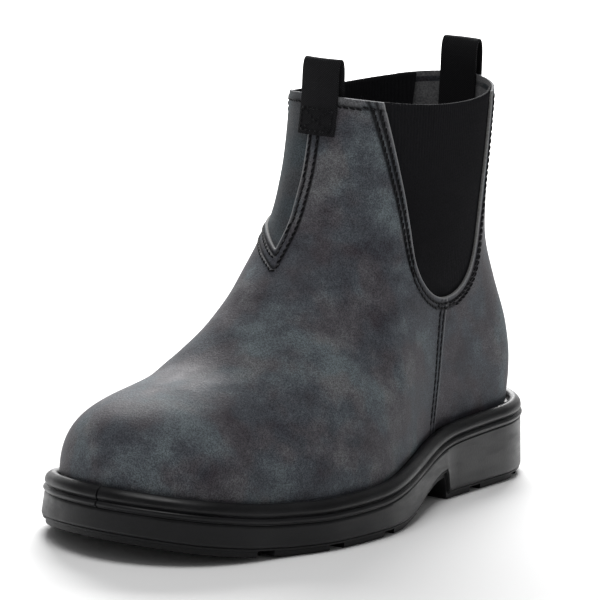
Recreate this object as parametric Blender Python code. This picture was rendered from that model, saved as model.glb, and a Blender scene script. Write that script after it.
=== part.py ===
"""Left side gore work boot: a hollow leather upper on a moulded sole, with elastic gores, insole and pull loops.

Metres, +Z up, toe towards -Y, the foot's outer side towards +X. The origin is on the ground under the
middle of the boot's box. All curved pieces come from one last: the function side_x, which gives the
half width of the foot and shaft at any length and height, fed by the short tables below.
"""
import math

import bmesh
import bpy
import numpy as np

# Driving sizes
FOOT_LENGTH = 0.288
BALL_WIDTH = 0.110
HEEL_WIDTH = 0.072
SHAFT_WIDTH = 0.080
COLLAR_HEIGHT = 0.190
COLLAR_DIP = 0.005
FORE_SOLE_HEIGHT = 0.0225
HEEL_LIFT = 0.0145
TOE_SPRING = 0.0095
WAIST_RISE = 0.011
HEEL_BEVEL = 0.0015
WALL = 0.0024
SKIN_STEP = 0.0011
GAP = 0.0003
TUCK_DEPTH = 0.0026
TUCK_INSET = 0.0008
INSOLE_THICKNESS = 0.004
OUTSOLE_THICKNESS = 0.0042
OUTSOLE_INSET = 0.0009
LUG_HEIGHT = 0.0029
LUG_PITCH = 0.038
NOTCH_WIDTH = 0.009
NOTCH_REACH = 0.021
GROOVE_WIDTH = 0.0045
CENTRE_LUG_WIDTH = 0.026
GORE_THICKNESS = 0.0016
GORE_LAP = 0.007
GORE_TOP_WIDTH = 0.0855
GORE_FOOT_RADIUS = 0.031
GORE_FOOT_HEIGHT = 0.094
STRIP_EDGE = 0.0045
BACK_STRAP_WIDTH = 0.022
BACK_STRAP_THICKNESS = 0.0012
LOOP_WIDTH = 0.020
LOOP_THICKNESS = 0.0014
LOOP_RISE = 0.017
LOOP_LEG = 0.018

# Places along the foot, as shares of FOOT_LENGTH from the toe
WAIST_END = 0.68
HEEL_BREAST = 0.69
HEEL_PULL_START = 0.55
GORE_FRONT_TOP = 0.550
GORE_FOOT_PLACE = 0.715
GORE_MEDIAL_SHIFT = 0.035
QUARTER_SEAM_TOP = 0.722
QUARTER_SEAM_FOOT = 0.655
FORE_TREAD = (0.09, 0.62)
HEEL_TREAD = (0.715, 0.985)
GROOVE_MARGINS = (0.03, 0.02)
PANEL_PLACES = (0.30, 0.427, 0.70)
# Where cutters end, past the boot's own length and height
BEHIND_HEEL = 1.1
ABOVE_COLLAR = 1.06
# Heights as shares of COLLAR_HEIGHT
PANEL_TIP_HEIGHT = 0.635
PANEL_REAR_HEIGHT = 0.686
PANEL_CURVE = 6
BACK_STRAP_FOOT = 0.36

# Station along the foot, then half widths as shares of BALL_WIDTH in front and of HEEL_WIDTH behind
OUTLINE = {
    "columns": ("station", "lateral", "medial"),
    "rows": [
        (0.00, 0.390, 0.400),
        (0.15, 0.437, 0.484),
        (0.30, 0.535, 0.458),
        (0.38, 0.548, 0.440),
        (0.58, 0.545, 0.445),
        (0.80, 0.530, 0.478),
        (1.00, 0.510, 0.480),
    ],
}
WIDTH_CHANGE = (0.40, 0.72)
# Share of the length that each end takes to round off, and the exponent of its curve
TOE_ROUND = (0.18, 2.45)
HEEL_ROUND = (0.14, 2.2)
TOE_SWING = -0.003
TOE_SWING_END = 0.40

# Upper edge of the sole: shares of TOE_SPRING and of HEEL_LIFT
FEATHER = {
    "columns": ("station", "spring", "lift"),
    "rows": [
        (0.00, 1.00, 0.00),
        (0.08, 0.55, 0.00),
        (0.18, 0.12, 0.00),
        (0.28, 0.00, 0.00),
        (0.38, 0.00, 0.03),
        (0.55, 0.00, 0.38),
        (0.75, 0.00, 0.86),
        (1.00, 0.00, 1.00),
    ],
}
# Underside of the sole: shares of TOE_SPRING, WAIST_RISE and HEEL_BEVEL
TREAD = {
    "columns": ("station", "spring", "waist", "bevel"),
    "rows": [
        (0.000, 1.00, 0.00, 0.0),
        (0.060, 0.58, 0.00, 0.0),
        (0.130, 0.24, 0.00, 0.0),
        (0.200, 0.05, 0.00, 0.0),
        (0.260, 0.00, 0.00, 0.0),
        (0.470, 0.00, 0.00, 0.0),
        (0.530, 0.00, 0.22, 0.0),
        (0.600, 0.00, 0.72, 0.0),
        (0.650, 0.00, 0.96, 0.0),
        (WAIST_END, 0.00, 1.00, 0.0),
        (HEEL_BREAST, 0.00, 0.00, 0.0),
        (0.930, 0.00, 0.00, 0.0),
        (1.000, 0.00, 0.00, 1.0),
    ],
}
# Front line seen from the side: share of FOOT_LENGTH, and share of the way from feather line to collar
RIDGE = {
    "columns": ("along", "height"),
    "rows": [
        (0.000, 0.000),
        (0.000, 0.064),
        (0.009, 0.128),
        (0.032, 0.174),
        (0.070, 0.206),
        (0.139, 0.238),
        (0.226, 0.278),
        (0.309, 0.382),
        (0.378, 0.484),
        (0.436, 0.580),
        (0.475, 0.682),
        (0.498, 0.796),
        (0.509, 0.911),
        (0.514, 1.000),
        (0.517, 1.080),
    ],
}
# Back line seen from the side, in the same shares
BACK = {
    "columns": ("along", "height"),
    "rows": [
        (1.000, 0.000),
        (1.006, 0.085),
        (1.000, 0.216),
        (0.973, 0.380),
        (0.944, 0.540),
        (0.930, 0.740),
        (0.932, 1.000),
        (0.933, 1.080),
    ],
}
# How full the cross-section is above the feather line
FULLNESS = {
    "columns": ("station", "exponent"),
    "rows": [(0.00, 2.5), (0.15, 2.2), (0.35, 1.8), (0.50, 1.5), (1.00, 1.5)],
}
# Shaft half width: share of COLLAR_HEIGHT, share of SHAFT_WIDTH
SHAFT = {
    "columns": ("height", "half width"),
    "rows": [(0.30, 0.460), (0.48, 0.465), (0.63, 0.475), (0.80, 0.495), (1.08, 0.515)],
}
SHAFT_BLEND = (0.29, 0.66)
SHAFT_ROUND = 2.3
# Side of the moulded sole, from its inner lip down to the plain wall: share of SOLE_FLARE outward from the
# upper, and share of BEAD_HEIGHT down from the feather line
SOLE_SIDE = {
    "columns": ("out", "down"),
    "rows": [
        (0.05, 0.11),
        (0.16, -0.02),
        (0.38, -0.07),
        (0.62, 0.02),
        (0.81, 0.20),
        (0.865, 0.40),
        (0.76, 0.58),
        (0.89, 0.64),
        (0.95, 0.755),
        (0.88, 0.87),
        (0.78, 0.92),
        (0.865, 1.00),
    ],
}
BEAD_HEIGHT = 0.0090
SOLE_FLARE = 0.0074
SOLE_EDGE_HEIGHT = 0.0010

# Cutters of the gores start this far from the middle, and those of the tread this far below the ground
GORE_INSIDE = SHAFT_WIDTH / 8
BELOW = -LUG_PITCH / 4

AROUND = 30
UP = 22


def column(table, name):
    """One named column of a table, as an array."""
    place = table["columns"].index(name)
    return np.array([row[place] for row in table["rows"]], float)


def smooth(xs, ys, x):
    """Monotone cubic through the points, held level past both ends."""
    xs = np.asarray(xs, float)
    ys = np.asarray(ys, float)
    step = np.diff(xs)
    slope = np.diff(ys) / step
    turn = np.zeros(len(xs))
    for i in range(1, len(xs) - 1):
        before, after = slope[i - 1], slope[i]
        if before * after > 0:
            wa, wb = 2 * step[i] + step[i - 1], step[i] + 2 * step[i - 1]
            turn[i] = (wa + wb) / (wa / before + wb / after)
    turn[0], turn[-1] = slope[0], slope[-1]
    x = np.clip(x, xs[0], xs[-1])
    i = np.clip(np.searchsorted(xs, x) - 1, 0, len(step) - 1)
    t = (x - xs[i]) / step[i]
    rise = turn[i] * step[i] * t * (1 - t) ** 2 - turn[i + 1] * step[i] * t * t * (1 - t)
    return ys[i] + (ys[i + 1] - ys[i]) * t * t * (3 - 2 * t) + rise


def read(table, x, name):
    """A table's named column at x, measured in its first column."""
    return smooth(column(table, table["columns"][0]), column(table, name), x)


def ease(low, high, x):
    t = np.clip((x - low) / (high - low), 0, 1)
    return t * t * (3 - 2 * t)


def feather_height(station):
    spring = TOE_SPRING * read(FEATHER, station, "spring")
    return FORE_SOLE_HEIGHT + spring + HEEL_LIFT * read(FEATHER, station, "lift")


def tread_height(station):
    """Height of the underside, straight from row to row so that the heel breast stays steep."""
    rows = [np.interp(station, column(TREAD, "station"), column(TREAD, name)) for name in TREAD["columns"][1:]]
    return TOE_SPRING * rows[0] + WAIST_RISE * rows[1] + HEEL_BEVEL * rows[2]


def end_round(station):
    toe, toe_power = TOE_ROUND
    heel, heel_power = HEEL_ROUND
    front = np.clip(1 - station / toe, 0, 1) ** toe_power
    back = np.clip(1 - (1 - station) / heel, 0, 1) ** heel_power
    return np.sqrt(np.clip(1 - front, 0, 1) * np.clip(1 - back, 0, 1))


def foot_half_width(station, side):
    size = BALL_WIDTH + (HEEL_WIDTH - BALL_WIDTH) * ease(*WIDTH_CHANGE, station)
    share = np.where(side > 0, read(OUTLINE, station, "lateral"), read(OUTLINE, station, "medial"))
    return size * share * end_round(station)


def profile(table, start_height, count=400):
    """Dense side profile from a table: lengths from the toe and heights, even in arc length."""
    along = column(table, "along") * FOOT_LENGTH
    height = start_height + column(table, "height") * (COLLAR_HEIGHT - start_height)
    chord = np.concatenate([[0], np.cumsum(np.hypot(np.diff(along), np.diff(height)))])
    fine = np.linspace(0, chord[-1], 4 * count)
    y, z = smooth(chord, along, fine), smooth(chord, height, fine)
    run = np.concatenate([[0], np.cumsum(np.hypot(np.diff(y), np.diff(z)))])
    even = np.linspace(0, run[-1], count)
    return np.interp(even, run, y), np.interp(even, run, z)


TOE_FEATHER = float(feather_height(0.0))
HEEL_FEATHER = float(feather_height(1.0))
RIDGE_Y, RIDGE_Z = profile(RIDGE, TOE_FEATHER)
BACK_Y, BACK_Z = profile(BACK, HEEL_FEATHER)


def side_x(y, z, side):
    """Signed half width of the last at length y from the toe and height z."""
    station = np.clip(y / FOOT_LENGTH, 0, 1)
    foot = feather_height(station)
    rising = np.maximum.accumulate(RIDGE_Y) + np.arange(len(RIDGE_Y)) * 1e-9
    past = np.maximum(y - rising[-1], 0)
    roof = np.interp(y, rising, RIDGE_Z) + 8 * past
    level = np.clip((z - foot) / np.maximum(roof - foot, 1e-6), 0, 1)
    crown = np.sqrt(np.clip(1 - level ** read(FULLNESS, station, "exponent"), 0, 1))
    back = np.interp(z, BACK_Z, BACK_Y)
    front = np.interp(z, RIDGE_Z, RIDGE_Y)
    waist = HEEL_PULL_START * FOOT_LENGTH
    ramp = np.clip((y - waist) / (back - waist), 0, 1) ** 1.5
    moved = np.clip((y + (FOOT_LENGTH - back) * ramp) / FOOT_LENGTH, 0, 1)
    foot_x = foot_half_width(moved, side) * crown
    across = np.clip((y - front) / (back - front), 0, 1)
    shaft = SHAFT_WIDTH * read(SHAFT, z / COLLAR_HEIGHT, "half width")
    shaft_x = shaft * np.sqrt(np.clip(1 - np.abs(2 * across - 1) ** SHAFT_ROUND, 0, 1))
    part = ease(SHAFT_BLEND[0] * COLLAR_HEIGHT, SHAFT_BLEND[1] * COLLAR_HEIGHT, z)
    swing = TOE_SWING * (1 - ease(0, TOE_SWING_END, station)) * (1 - part)
    return swing + side * ((1 - part) * foot_x + part * shaft_x)


def stations():
    """Stations from toe to heel, closer at both ends, with a pair at the heel breast."""
    even = (1 - np.cos(np.linspace(0, np.pi, AROUND))) / 2
    breast = (WAIST_END, HEEL_BREAST)
    kept = [s for s in even if min(abs(s - b) for b in breast) > HEEL_BREAST - WAIST_END]
    return np.array(sorted(kept + list(breast)))


STATIONS = stations()


def loop_of(lateral, medial):
    """One closed loop from two toe-to-heel rows that share their end points."""
    return np.concatenate([lateral, medial[-2:0:-1]])


def ring(v):
    """One loop round the last: v is 0 at the feather line and 1 at the collar."""
    at = np.interp(COLLAR_HEIGHT, RIDGE_Z, np.arange(len(RIDGE_Z))) * v
    steps = np.arange(len(RIDGE_Z))
    ridge_y, ridge_z = np.interp(at, steps, RIDGE_Y), np.interp(at, steps, RIDGE_Z)
    back_z = HEEL_FEATHER + v * (COLLAR_HEIGHT - HEEL_FEATHER)
    back_y = np.interp(back_z, BACK_Z, BACK_Y)
    c = STATIONS
    chord = TOE_FEATHER + (HEEL_FEATHER - TOE_FEATHER) * c
    y = ridge_y + (back_y - ridge_y) * c
    z = ridge_z + (back_z - ridge_z) * c + (feather_height(c) - chord) * (1 - v) ** 2
    z = z - COLLAR_DIP * 4 * c * (1 - c) * v ** 4
    rows = [np.stack([side_x(y, z, side), y, z], 1) for side in (1, -1)]
    middle = (rows[0][:, 0] + rows[1][:, 0]) / 2
    for row in rows:
        row[0, 0] = middle[0]
        row[-1, 0] = middle[-1]
    return loop_of(*rows)


def grow(grid, distance):
    """A grid of loops moved along its own normals, outward when distance is positive."""
    around = np.roll(grid, -1, axis=1) - np.roll(grid, 1, axis=1)
    up = np.gradient(grid, axis=0)
    normal = np.cross(around, up)
    normal /= np.linalg.norm(normal, axis=2, keepdims=True) + 1e-12
    return grid + normal * distance


def feather_plan(out):
    """Plan of the feather line moved outward by out, as x and y from toe round to toe."""
    flat = ring(0.0)[:, :2]
    along = np.roll(flat, -1, axis=0) - np.roll(flat, 1, axis=0)
    normal = np.stack([along[:, 1], -along[:, 0]], 1)
    return flat + out * normal / np.linalg.norm(normal, axis=1, keepdims=True)


LEVELS = np.linspace(0.0, 1.0, UP)
LOOP_STATIONS = loop_of(STATIONS, STATIONS)
SOLE_PLAN = feather_plan(SOLE_FLARE)
CENTRE_X = (SOLE_PLAN[:, 0].max() + SOLE_PLAN[:, 0].min()) / 2
CENTRE_Y = (SOLE_PLAN[:, 1].max() + SOLE_PLAN[:, 1].min()) / 2


def plan_loop(out, heights):
    return np.column_stack([feather_plan(out), heights])


def material(name, colour, roughness):
    made = bpy.data.materials.new(name)
    made.use_nodes = True
    shader = made.node_tree.nodes["Principled BSDF"]
    shader.inputs["Base Color"].default_value = (*colour, 1.0)
    shader.inputs["Roughness"].default_value = roughness
    shader.inputs["Metallic"].default_value = 0.0
    made.diffuse_color = (*colour, 1.0)
    return made


def add_mesh(name, points, faces, look=None):
    """A closed mesh object, moved from the last's own place to the boot's origin."""
    mesh = bpy.data.meshes.new(name)
    shift = np.array([CENTRE_X, CENTRE_Y, 0.0])
    mesh.from_pydata((np.asarray(points) - shift).tolist(), [], faces)
    work = bmesh.new()
    work.from_mesh(mesh)
    bmesh.ops.recalc_face_normals(work, faces=work.faces)
    bmesh.ops.triangulate(work, faces=work.faces)
    work.to_mesh(mesh)
    work.free()
    obj = bpy.data.objects.new(name, mesh)
    bpy.context.scene.collection.objects.link(obj)
    if look:
        mesh.materials.append(look)
        mesh.shade_smooth()
        mesh.set_sharp_from_angle(angle=math.radians(35))
    return obj


def cutter(obj):
    obj.hide_render = True
    obj.display_type = "WIRE"
    return obj


def skin_faces(rows, around, closed):
    """Quads between neighbouring loops; closed joins the last loop to the first."""
    faces = []
    for r in range(rows if closed else rows - 1):
        n = (r + 1) % rows
        for i in range(around):
            j = (i + 1) % around
            faces.append((r * around + i, r * around + j, n * around + j, n * around + i))
    return faces


def cap_faces(first, around):
    """A ladder of faces straight across a loop that runs toe to heel and back."""
    faces = []
    half = around // 2
    for i in range(half):
        corners = [i, i + 1, (around - i - 1) % around, (around - i) % around]
        faces.append(tuple(first + k for k in dict.fromkeys(corners)))
    return faces


def stack(name, loops, look=None):
    """A closed solid from loops laid one under another, capped straight across at both ends."""
    around = len(loops[0])
    faces = skin_faces(len(loops), around, False)
    faces += cap_faces(0, around) + cap_faces((len(loops) - 1) * around, around)
    return add_mesh(name, np.concatenate(loops), faces, look)


def shell(name, levels, outside, inside, look=None, tuck=False):
    """A hollow ring solid between two offsets of the last, open above and below."""
    grid = np.array([ring(v) for v in levels])
    outer, inner = grow(grid, outside), grow(grid, inside)
    if tuck:
        low = feather_height(LOOP_STATIONS) - TUCK_DEPTH
        foot_out = plan_loop(outside - TUCK_INSET, low)
        foot_in = plan_loop(inside - TUCK_INSET, low)
        outer = np.concatenate([foot_out[None], outer])
        inner = np.concatenate([foot_in[None], inner])
    loops = np.concatenate([outer, inner[::-1]])
    rows, around = loops.shape[:2]
    return add_mesh(name, loops.reshape(-1, 3), skin_faces(rows, around, True), look)


def prism(name, outline, x_low, x_high):
    """A side-view outline of lengths and heights, drawn out across the boot."""
    count = len(outline)
    points = [(x, y, z) for x in (x_low, x_high) for y, z in outline]
    faces = [tuple(range(count)), tuple(range(count, 2 * count))]
    faces += [(i, (i + 1) % count, count + (i + 1) % count, count + i) for i in range(count)]
    return cutter(add_mesh(name, points, faces))


def boolean(obj, other, operation):
    step = obj.modifiers.new(f"{operation.lower()} {other.name}", "BOOLEAN")
    step.operation = operation
    step.object = other
    step.solver = "EXACT"


def tangent_angle(point, middle, radius, turn):
    """Angle on a circle at which a line from an outside point touches it, on the side given by turn."""
    along, up = point[0] - middle[0], point[1] - middle[1]
    return math.atan2(up, along) + turn * math.acos(radius / math.hypot(along, up))


def side_shift(side):
    """Share of the length by which the inner side's gore and side seam sit further back."""
    return GORE_MEDIAL_SHIFT if side < 0 else 0.0


def gore_outline(lap, side):
    """The U of one side's gore seen from the side, made larger all round by lap."""
    radius = GORE_FOOT_RADIUS + lap
    middle = ((GORE_FOOT_PLACE + side_shift(side)) * FOOT_LENGTH, GORE_FOOT_HEIGHT + GORE_FOOT_RADIUS)
    front = (GORE_FRONT_TOP + side_shift(side)) * FOOT_LENGTH
    front_top = (front - lap, COLLAR_HEIGHT * ABOVE_COLLAR)
    back_top = (front + GORE_TOP_WIDTH + lap, COLLAR_HEIGHT * ABOVE_COLLAR)
    first = tangent_angle(front_top, middle, radius, 1)
    last = tangent_angle(back_top, middle, radius, -1) + 2 * math.pi
    points = [back_top, front_top]
    for k in range(13):
        angle = first + (last - first) * k / 12
        points.append((middle[0] + radius * math.cos(angle), middle[1] + radius * math.sin(angle)))
    return points


def panel_outline():
    """The inner side's front panel: its point is at the instep and its lower edge rises to the gore."""
    tip = COLLAR_HEIGHT * PANEL_TIP_HEIGHT
    rear = COLLAR_HEIGHT * PANEL_REAR_HEIGHT
    start, seam, end = (share * FOOT_LENGTH for share in PANEL_PLACES)
    top = COLLAR_HEIGHT * ABOVE_COLLAR
    edge = []
    for k in range(10):
        along = (k / 9) ** 1.5
        edge.append((seam + (end - seam) * along, tip + (rear - tip) * (1 - (1 - along) ** PANEL_CURVE)))
    return [(start, tip)] + edge + [(end, top), (start, top)]


def quarter_outline(side):
    """Everything behind the side seam that runs from one gore's foot down to the sole."""
    top = GORE_FOOT_HEIGHT + 0.5 * GORE_FOOT_RADIUS
    high = COLLAR_HEIGHT * ABOVE_COLLAR
    far = FOOT_LENGTH * BEHIND_HEEL
    foot_y = (QUARTER_SEAM_FOOT + side_shift(side)) * FOOT_LENGTH
    top_y = (QUARTER_SEAM_TOP + side_shift(side)) * FOOT_LENGTH
    return [(foot_y, 0.0), (top_y, top), (top_y, high), (far, high), (far, 0.0)]


def skin_cutter(name, outline, x_low, x_high):
    """The outer skin of the last inside a side-view outline, to be cut from the upper."""
    skin = cutter(shell(name, [-0.03, *LEVELS, 1.05], 4 * SKIN_STEP, -SKIN_STEP))
    boolean(skin, prism(f"{name} outline", outline, x_low, x_high), "INTERSECT")
    return skin


def upper(look):
    made = shell("upper", LEVELS, 0.0, -WALL, look, tuck=True)
    wide = BALL_WIDTH
    boolean(made, skin_cutter("panel skin", panel_outline(), -wide, -STRIP_EDGE), "DIFFERENCE")
    boolean(made, skin_cutter("lateral quarter skin", quarter_outline(1), -STRIP_EDGE, wide), "DIFFERENCE")
    boolean(made, skin_cutter("medial quarter skin", quarter_outline(-1), -wide, STRIP_EDGE), "DIFFERENCE")
    boolean(made, prism("lateral gore hole", gore_outline(0.0, 1), GORE_INSIDE, wide), "DIFFERENCE")
    boolean(made, prism("medial gore hole", gore_outline(0.0, -1), -wide, -GORE_INSIDE), "DIFFERENCE")
    return made


def gore(name, side, look):
    """An elastic gore behind its hole, lapping the leather all round."""
    front = -WALL - GAP
    made = shell(name, LEVELS[LEVELS > 0.2], front, front - GORE_THICKNESS, look)
    ends = sorted((side * GORE_INSIDE, side * BALL_WIDTH))
    boolean(made, prism(f"{name} outline", gore_outline(GORE_LAP, side), *ends), "INTERSECT")
    return made


def back_strap(look):
    """The strip over the back seam, from the collar down to the counter."""
    inside = GAP - SKIN_STEP
    made = shell("back_strap", LEVELS[LEVELS > 0.15], inside + BACK_STRAP_THICKNESS, inside, look)
    half = BACK_STRAP_WIDTH / 2
    low = COLLAR_HEIGHT * BACK_STRAP_FOOT
    high = COLLAR_HEIGHT * ABOVE_COLLAR
    mid = FOOT_LENGTH * GORE_FOOT_PLACE
    far = FOOT_LENGTH * BEHIND_HEEL
    outline = [(mid, low), (far, low), (far, high), (mid, high)]
    boolean(made, prism("back strap outline", outline, -half, half), "INTERSECT")
    return made


def insole(look):
    out = -WALL - TUCK_INSET - GAP
    low = feather_height(LOOP_STATIONS) - TUCK_DEPTH
    top = low + INSOLE_THICKNESS
    edge = INSOLE_THICKNESS / 5
    return stack("insole", [plan_loop(out, low), plan_loop(out, top - edge), plan_loop(out - edge, top)], look)


def midsole(look):
    """The moulded body: seat, bead, rib, plain wall and heel block."""
    feather = feather_height(LOOP_STATIONS)
    seat = feather - TUCK_DEPTH - GAP
    floor = tread_height(LOOP_STATIONS) + OUTSOLE_THICKNESS + GAP
    out, down = column(SOLE_SIDE, "out") * SOLE_FLARE, column(SOLE_SIDE, "down") * BEAD_HEIGHT
    loops = [plan_loop(out[0], seat)]
    loops += [plan_loop(o, feather - d) for o, d in zip(out, down)]
    loops.append(plan_loop(SOLE_FLARE, floor + SOLE_EDGE_HEIGHT))
    loops.append(plan_loop(SOLE_FLARE - SOLE_EDGE_HEIGHT, floor))
    return stack("midsole", loops, look)


def strip(name, rows, depth):
    """A cutter along the tread: rows of station, left x and right x, cut up to depth above the tread."""
    points = []
    for station, left, right in rows:
        y = station * FOOT_LENGTH
        top = float(tread_height(station)) + depth
        points += [(left, y, BELOW), (right, y, BELOW), (right, y, top), (left, y, top)]
    count = len(rows)
    faces = [(0, 1, 2, 3), tuple(4 * count - 4 + k for k in range(4))]
    for r in range(count - 1):
        for k in range(4):
            n = (k + 1) % 4
            faces.append((4 * r + k, 4 * r + n, 4 * r + 4 + n, 4 * r + 4 + k))
    return points, faces


def joined_cutter(name, pieces):
    points, faces = [], []
    for piece_points, piece_faces in pieces:
        faces += [tuple(len(points) + k for k in face) for face in piece_faces]
        points += piece_points
    return cutter(add_mesh(name, points, faces))


def tread_span(length):
    """Lug rows of one stretch of tread: middles of the notches, as stations."""
    first, last = length
    count = round((last - first) * FOOT_LENGTH / LUG_PITCH)
    return [first + (k + 0.5) * (last - first) / count for k in range(count)]


def edge_x(station, side):
    return float(side_x(station * FOOT_LENGTH, float(feather_height(station)), side))


def notch(station, side, inner_x):
    """A notch from inner_x out past the sole's edge."""
    half = NOTCH_WIDTH / 2 / FOOT_LENGTH
    outer = side * BALL_WIDTH
    left, right = sorted((inner_x, outer))
    return strip("notch", [(station - half, left, right), (station + half, left, right)], LUG_HEIGHT)


def groove(first, last, side):
    """A long groove between the outer lugs and the middle ones."""
    rows = []
    for k in range(9):
        station = first + (last - first) * k / 8
        x = side * (CENTRE_LUG_WIDTH / 2 + GROOVE_WIDTH / 2)
        rows.append((station, x - GROOVE_WIDTH / 2, x + GROOVE_WIDTH / 2))
    return strip("groove", rows, LUG_HEIGHT)


def outsole(look):
    """The tread: a thin plate with lugs, notched along its sides."""
    bottom = tread_height(LOOP_STATIONS)
    out = SOLE_FLARE - SOLE_EDGE_HEIGHT - OUTSOLE_INSET
    chamfer = SOLE_EDGE_HEIGHT / 2
    loops = [plan_loop(out, bottom + OUTSOLE_THICKNESS), plan_loop(out, bottom + chamfer),
             plan_loop(out - chamfer, bottom)]
    made = stack("outsole", loops, look)
    notches, middles = [], []
    groove_edge = CENTRE_LUG_WIDTH / 2 + GROOVE_WIDTH
    for span in (FORE_TREAD, HEEL_TREAD):
        for station in tread_span(span):
            for side in (1, -1):
                inner = max(side * edge_x(station, side) - NOTCH_REACH, groove_edge - GROOVE_WIDTH / 2)
                notches.append(notch(station, side, side * inner))
            half = GROOVE_WIDTH / 2 / FOOT_LENGTH
            shift = LUG_PITCH / 2 / FOOT_LENGTH
            reach = CENTRE_LUG_WIDTH / 2 + GROOVE_WIDTH / 2
            if station + shift + half < span[1]:
                rows = [(station + shift - half, -reach, reach), (station + shift + half, -reach, reach)]
                middles.append(strip("bar", rows, LUG_HEIGHT))
    boolean(made, joined_cutter("side notches", notches), "DIFFERENCE")
    boolean(made, joined_cutter("middle grooves", middles), "DIFFERENCE")
    spans = (FORE_TREAD, HEEL_TREAD)
    ahead, behind = GROOVE_MARGINS
    grooves = [groove(first + ahead, last - behind, side) for first, last in spans for side in (1, -1)]
    boolean(made, joined_cutter("long grooves", grooves), "DIFFERENCE")
    return made


def end_y(x, z, end):
    """Length at which the last is x wide to one side at height z, at its back (end 1) or front (end -1)."""
    z = min(z, COLLAR_HEIGHT)
    front, back = np.interp(z, RIDGE_Z, RIDGE_Y), np.interp(z, BACK_Z, BACK_Y)
    y = np.linspace(front, back, 400)[:200] if end < 0 else np.linspace(back, front, 400)[:200]
    return float(np.interp(abs(x), side_x(y, np.full(200, z), 1), y))


def loop_path(outer_gap, inner_gap):
    """Middle of the webbing as distance out from the leather and height, outer leg, arch and inner leg."""
    outer = outer_gap + LOOP_THICKNESS / 2
    inner = -inner_gap - LOOP_THICKNESS / 2
    middle, reach = (outer + inner) / 2, (outer - inner) / 2
    arch = LOOP_RISE - LOOP_THICKNESS / 2
    legs = [COLLAR_HEIGHT - LOOP_LEG * (1 - k / 4) for k in range(5)]
    path = [(outer, z) for z in legs]
    for k in range(1, 10):
        angle = math.pi * k / 10
        belly = 1 + 0.5 * math.sin(angle) ** 2
        path.append((middle + reach * belly * math.cos(angle), COLLAR_HEIGHT + arch * math.sin(angle) ** 0.8))
    return path + [(inner, z) for z in legs[::-1]]


def pull_loop(name, end, look):
    """A webbing loop over the collar, one leg outside and one inside."""
    cover = BACK_STRAP_THICKNESS + GAP - SKIN_STEP if end > 0 else 0.0
    path = np.array(loop_path(cover + GAP, WALL + 2 * GAP))
    along = np.gradient(path, axis=0)
    normal = np.stack([along[:, 1], -along[:, 0]], 1) / np.linalg.norm(along, axis=1, keepdims=True)
    rim = np.concatenate([path + normal * LOOP_THICKNESS / 2, (path - normal * LOOP_THICKNESS / 2)[::-1]])
    points = []
    for x in np.linspace(-LOOP_WIDTH / 2, LOOP_WIDTH / 2, 5):
        points += [(x, end_y(x, z, end) + end * out, z) for out, z in rim]
    count = len(rim)
    half = count // 2
    faces = []
    for c in range(4):
        for i in range(count):
            j = (i + 1) % count
            faces.append((c * count + i, c * count + j, (c + 1) * count + j, (c + 1) * count + i))
    for first in (0, 4 * count):
        faces += [(first + i, first + i + 1, first + count - 2 - i, first + count - 1 - i) for i in range(half - 1)]
    return add_mesh(name, points, faces, look)


def clear_scene():
    for obj in list(bpy.data.objects):
        bpy.data.objects.remove(obj, do_unlink=True)


def main():
    clear_scene()
    leather = material("charcoal nubuck", (0.052, 0.055, 0.060), 0.62)
    elastic = material("black elastic", (0.012, 0.012, 0.013), 0.85)
    webbing = material("black webbing", (0.014, 0.014, 0.015), 0.9)
    compound = material("black sole compound", (0.014, 0.014, 0.016), 0.42)
    tread = material("black tread rubber", (0.010, 0.010, 0.011), 0.6)
    board = material("grey insole cloth", (0.09, 0.09, 0.095), 0.9)
    upper(leather)
    gore("gore_lateral", 1, elastic)
    gore("gore_medial", -1, elastic)
    back_strap(leather)
    pull_loop("pull_loop_back", 1, webbing)
    pull_loop("pull_loop_front", -1, webbing)
    insole(board)
    midsole(compound)
    outsole(tread)


main()
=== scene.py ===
"""Looks of the left side gore work boot: nubuck panels with stitched seams, elastic gores, webbing and sole.

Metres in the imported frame: +Z up, toe towards -Y, the foot's outer side towards +X. The last is worked out
from the same sizes and tables as in the part's source, and its own coordinates count lengths from the toe.
"""
import math

import bmesh
import bpy
import numpy as np
from mathutils import Matrix, Vector
from mathutils.bvhtree import BVHTree


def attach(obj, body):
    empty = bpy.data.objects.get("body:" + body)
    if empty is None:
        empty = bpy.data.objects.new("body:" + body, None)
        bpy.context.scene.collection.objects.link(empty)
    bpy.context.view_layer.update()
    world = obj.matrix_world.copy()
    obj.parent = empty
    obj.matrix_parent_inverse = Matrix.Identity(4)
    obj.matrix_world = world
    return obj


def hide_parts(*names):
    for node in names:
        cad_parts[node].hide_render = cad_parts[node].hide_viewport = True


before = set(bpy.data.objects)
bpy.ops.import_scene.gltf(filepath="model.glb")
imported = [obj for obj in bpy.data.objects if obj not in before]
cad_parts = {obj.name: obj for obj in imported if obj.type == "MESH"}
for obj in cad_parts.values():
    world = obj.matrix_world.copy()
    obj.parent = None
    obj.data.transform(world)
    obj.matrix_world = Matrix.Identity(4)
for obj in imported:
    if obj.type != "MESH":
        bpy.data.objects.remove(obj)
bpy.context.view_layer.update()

# Sizes of the boot, as in the part's source
FOOT_LENGTH = 0.288
BALL_WIDTH = 0.110
HEEL_WIDTH = 0.072
SHAFT_WIDTH = 0.080
COLLAR_HEIGHT = 0.190
COLLAR_DIP = 0.005
FORE_SOLE_HEIGHT = 0.0225
HEEL_LIFT = 0.0145
TOE_SPRING = 0.0095
WAIST_RISE = 0.011
HEEL_BEVEL = 0.0015
WALL = 0.0024
SKIN_STEP = 0.0011
GAP = 0.0003
TUCK_DEPTH = 0.0026
TUCK_INSET = 0.0008
INSOLE_THICKNESS = 0.004
OUTSOLE_THICKNESS = 0.0042
OUTSOLE_INSET = 0.0009
LUG_HEIGHT = 0.0029
LUG_PITCH = 0.038
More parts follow.
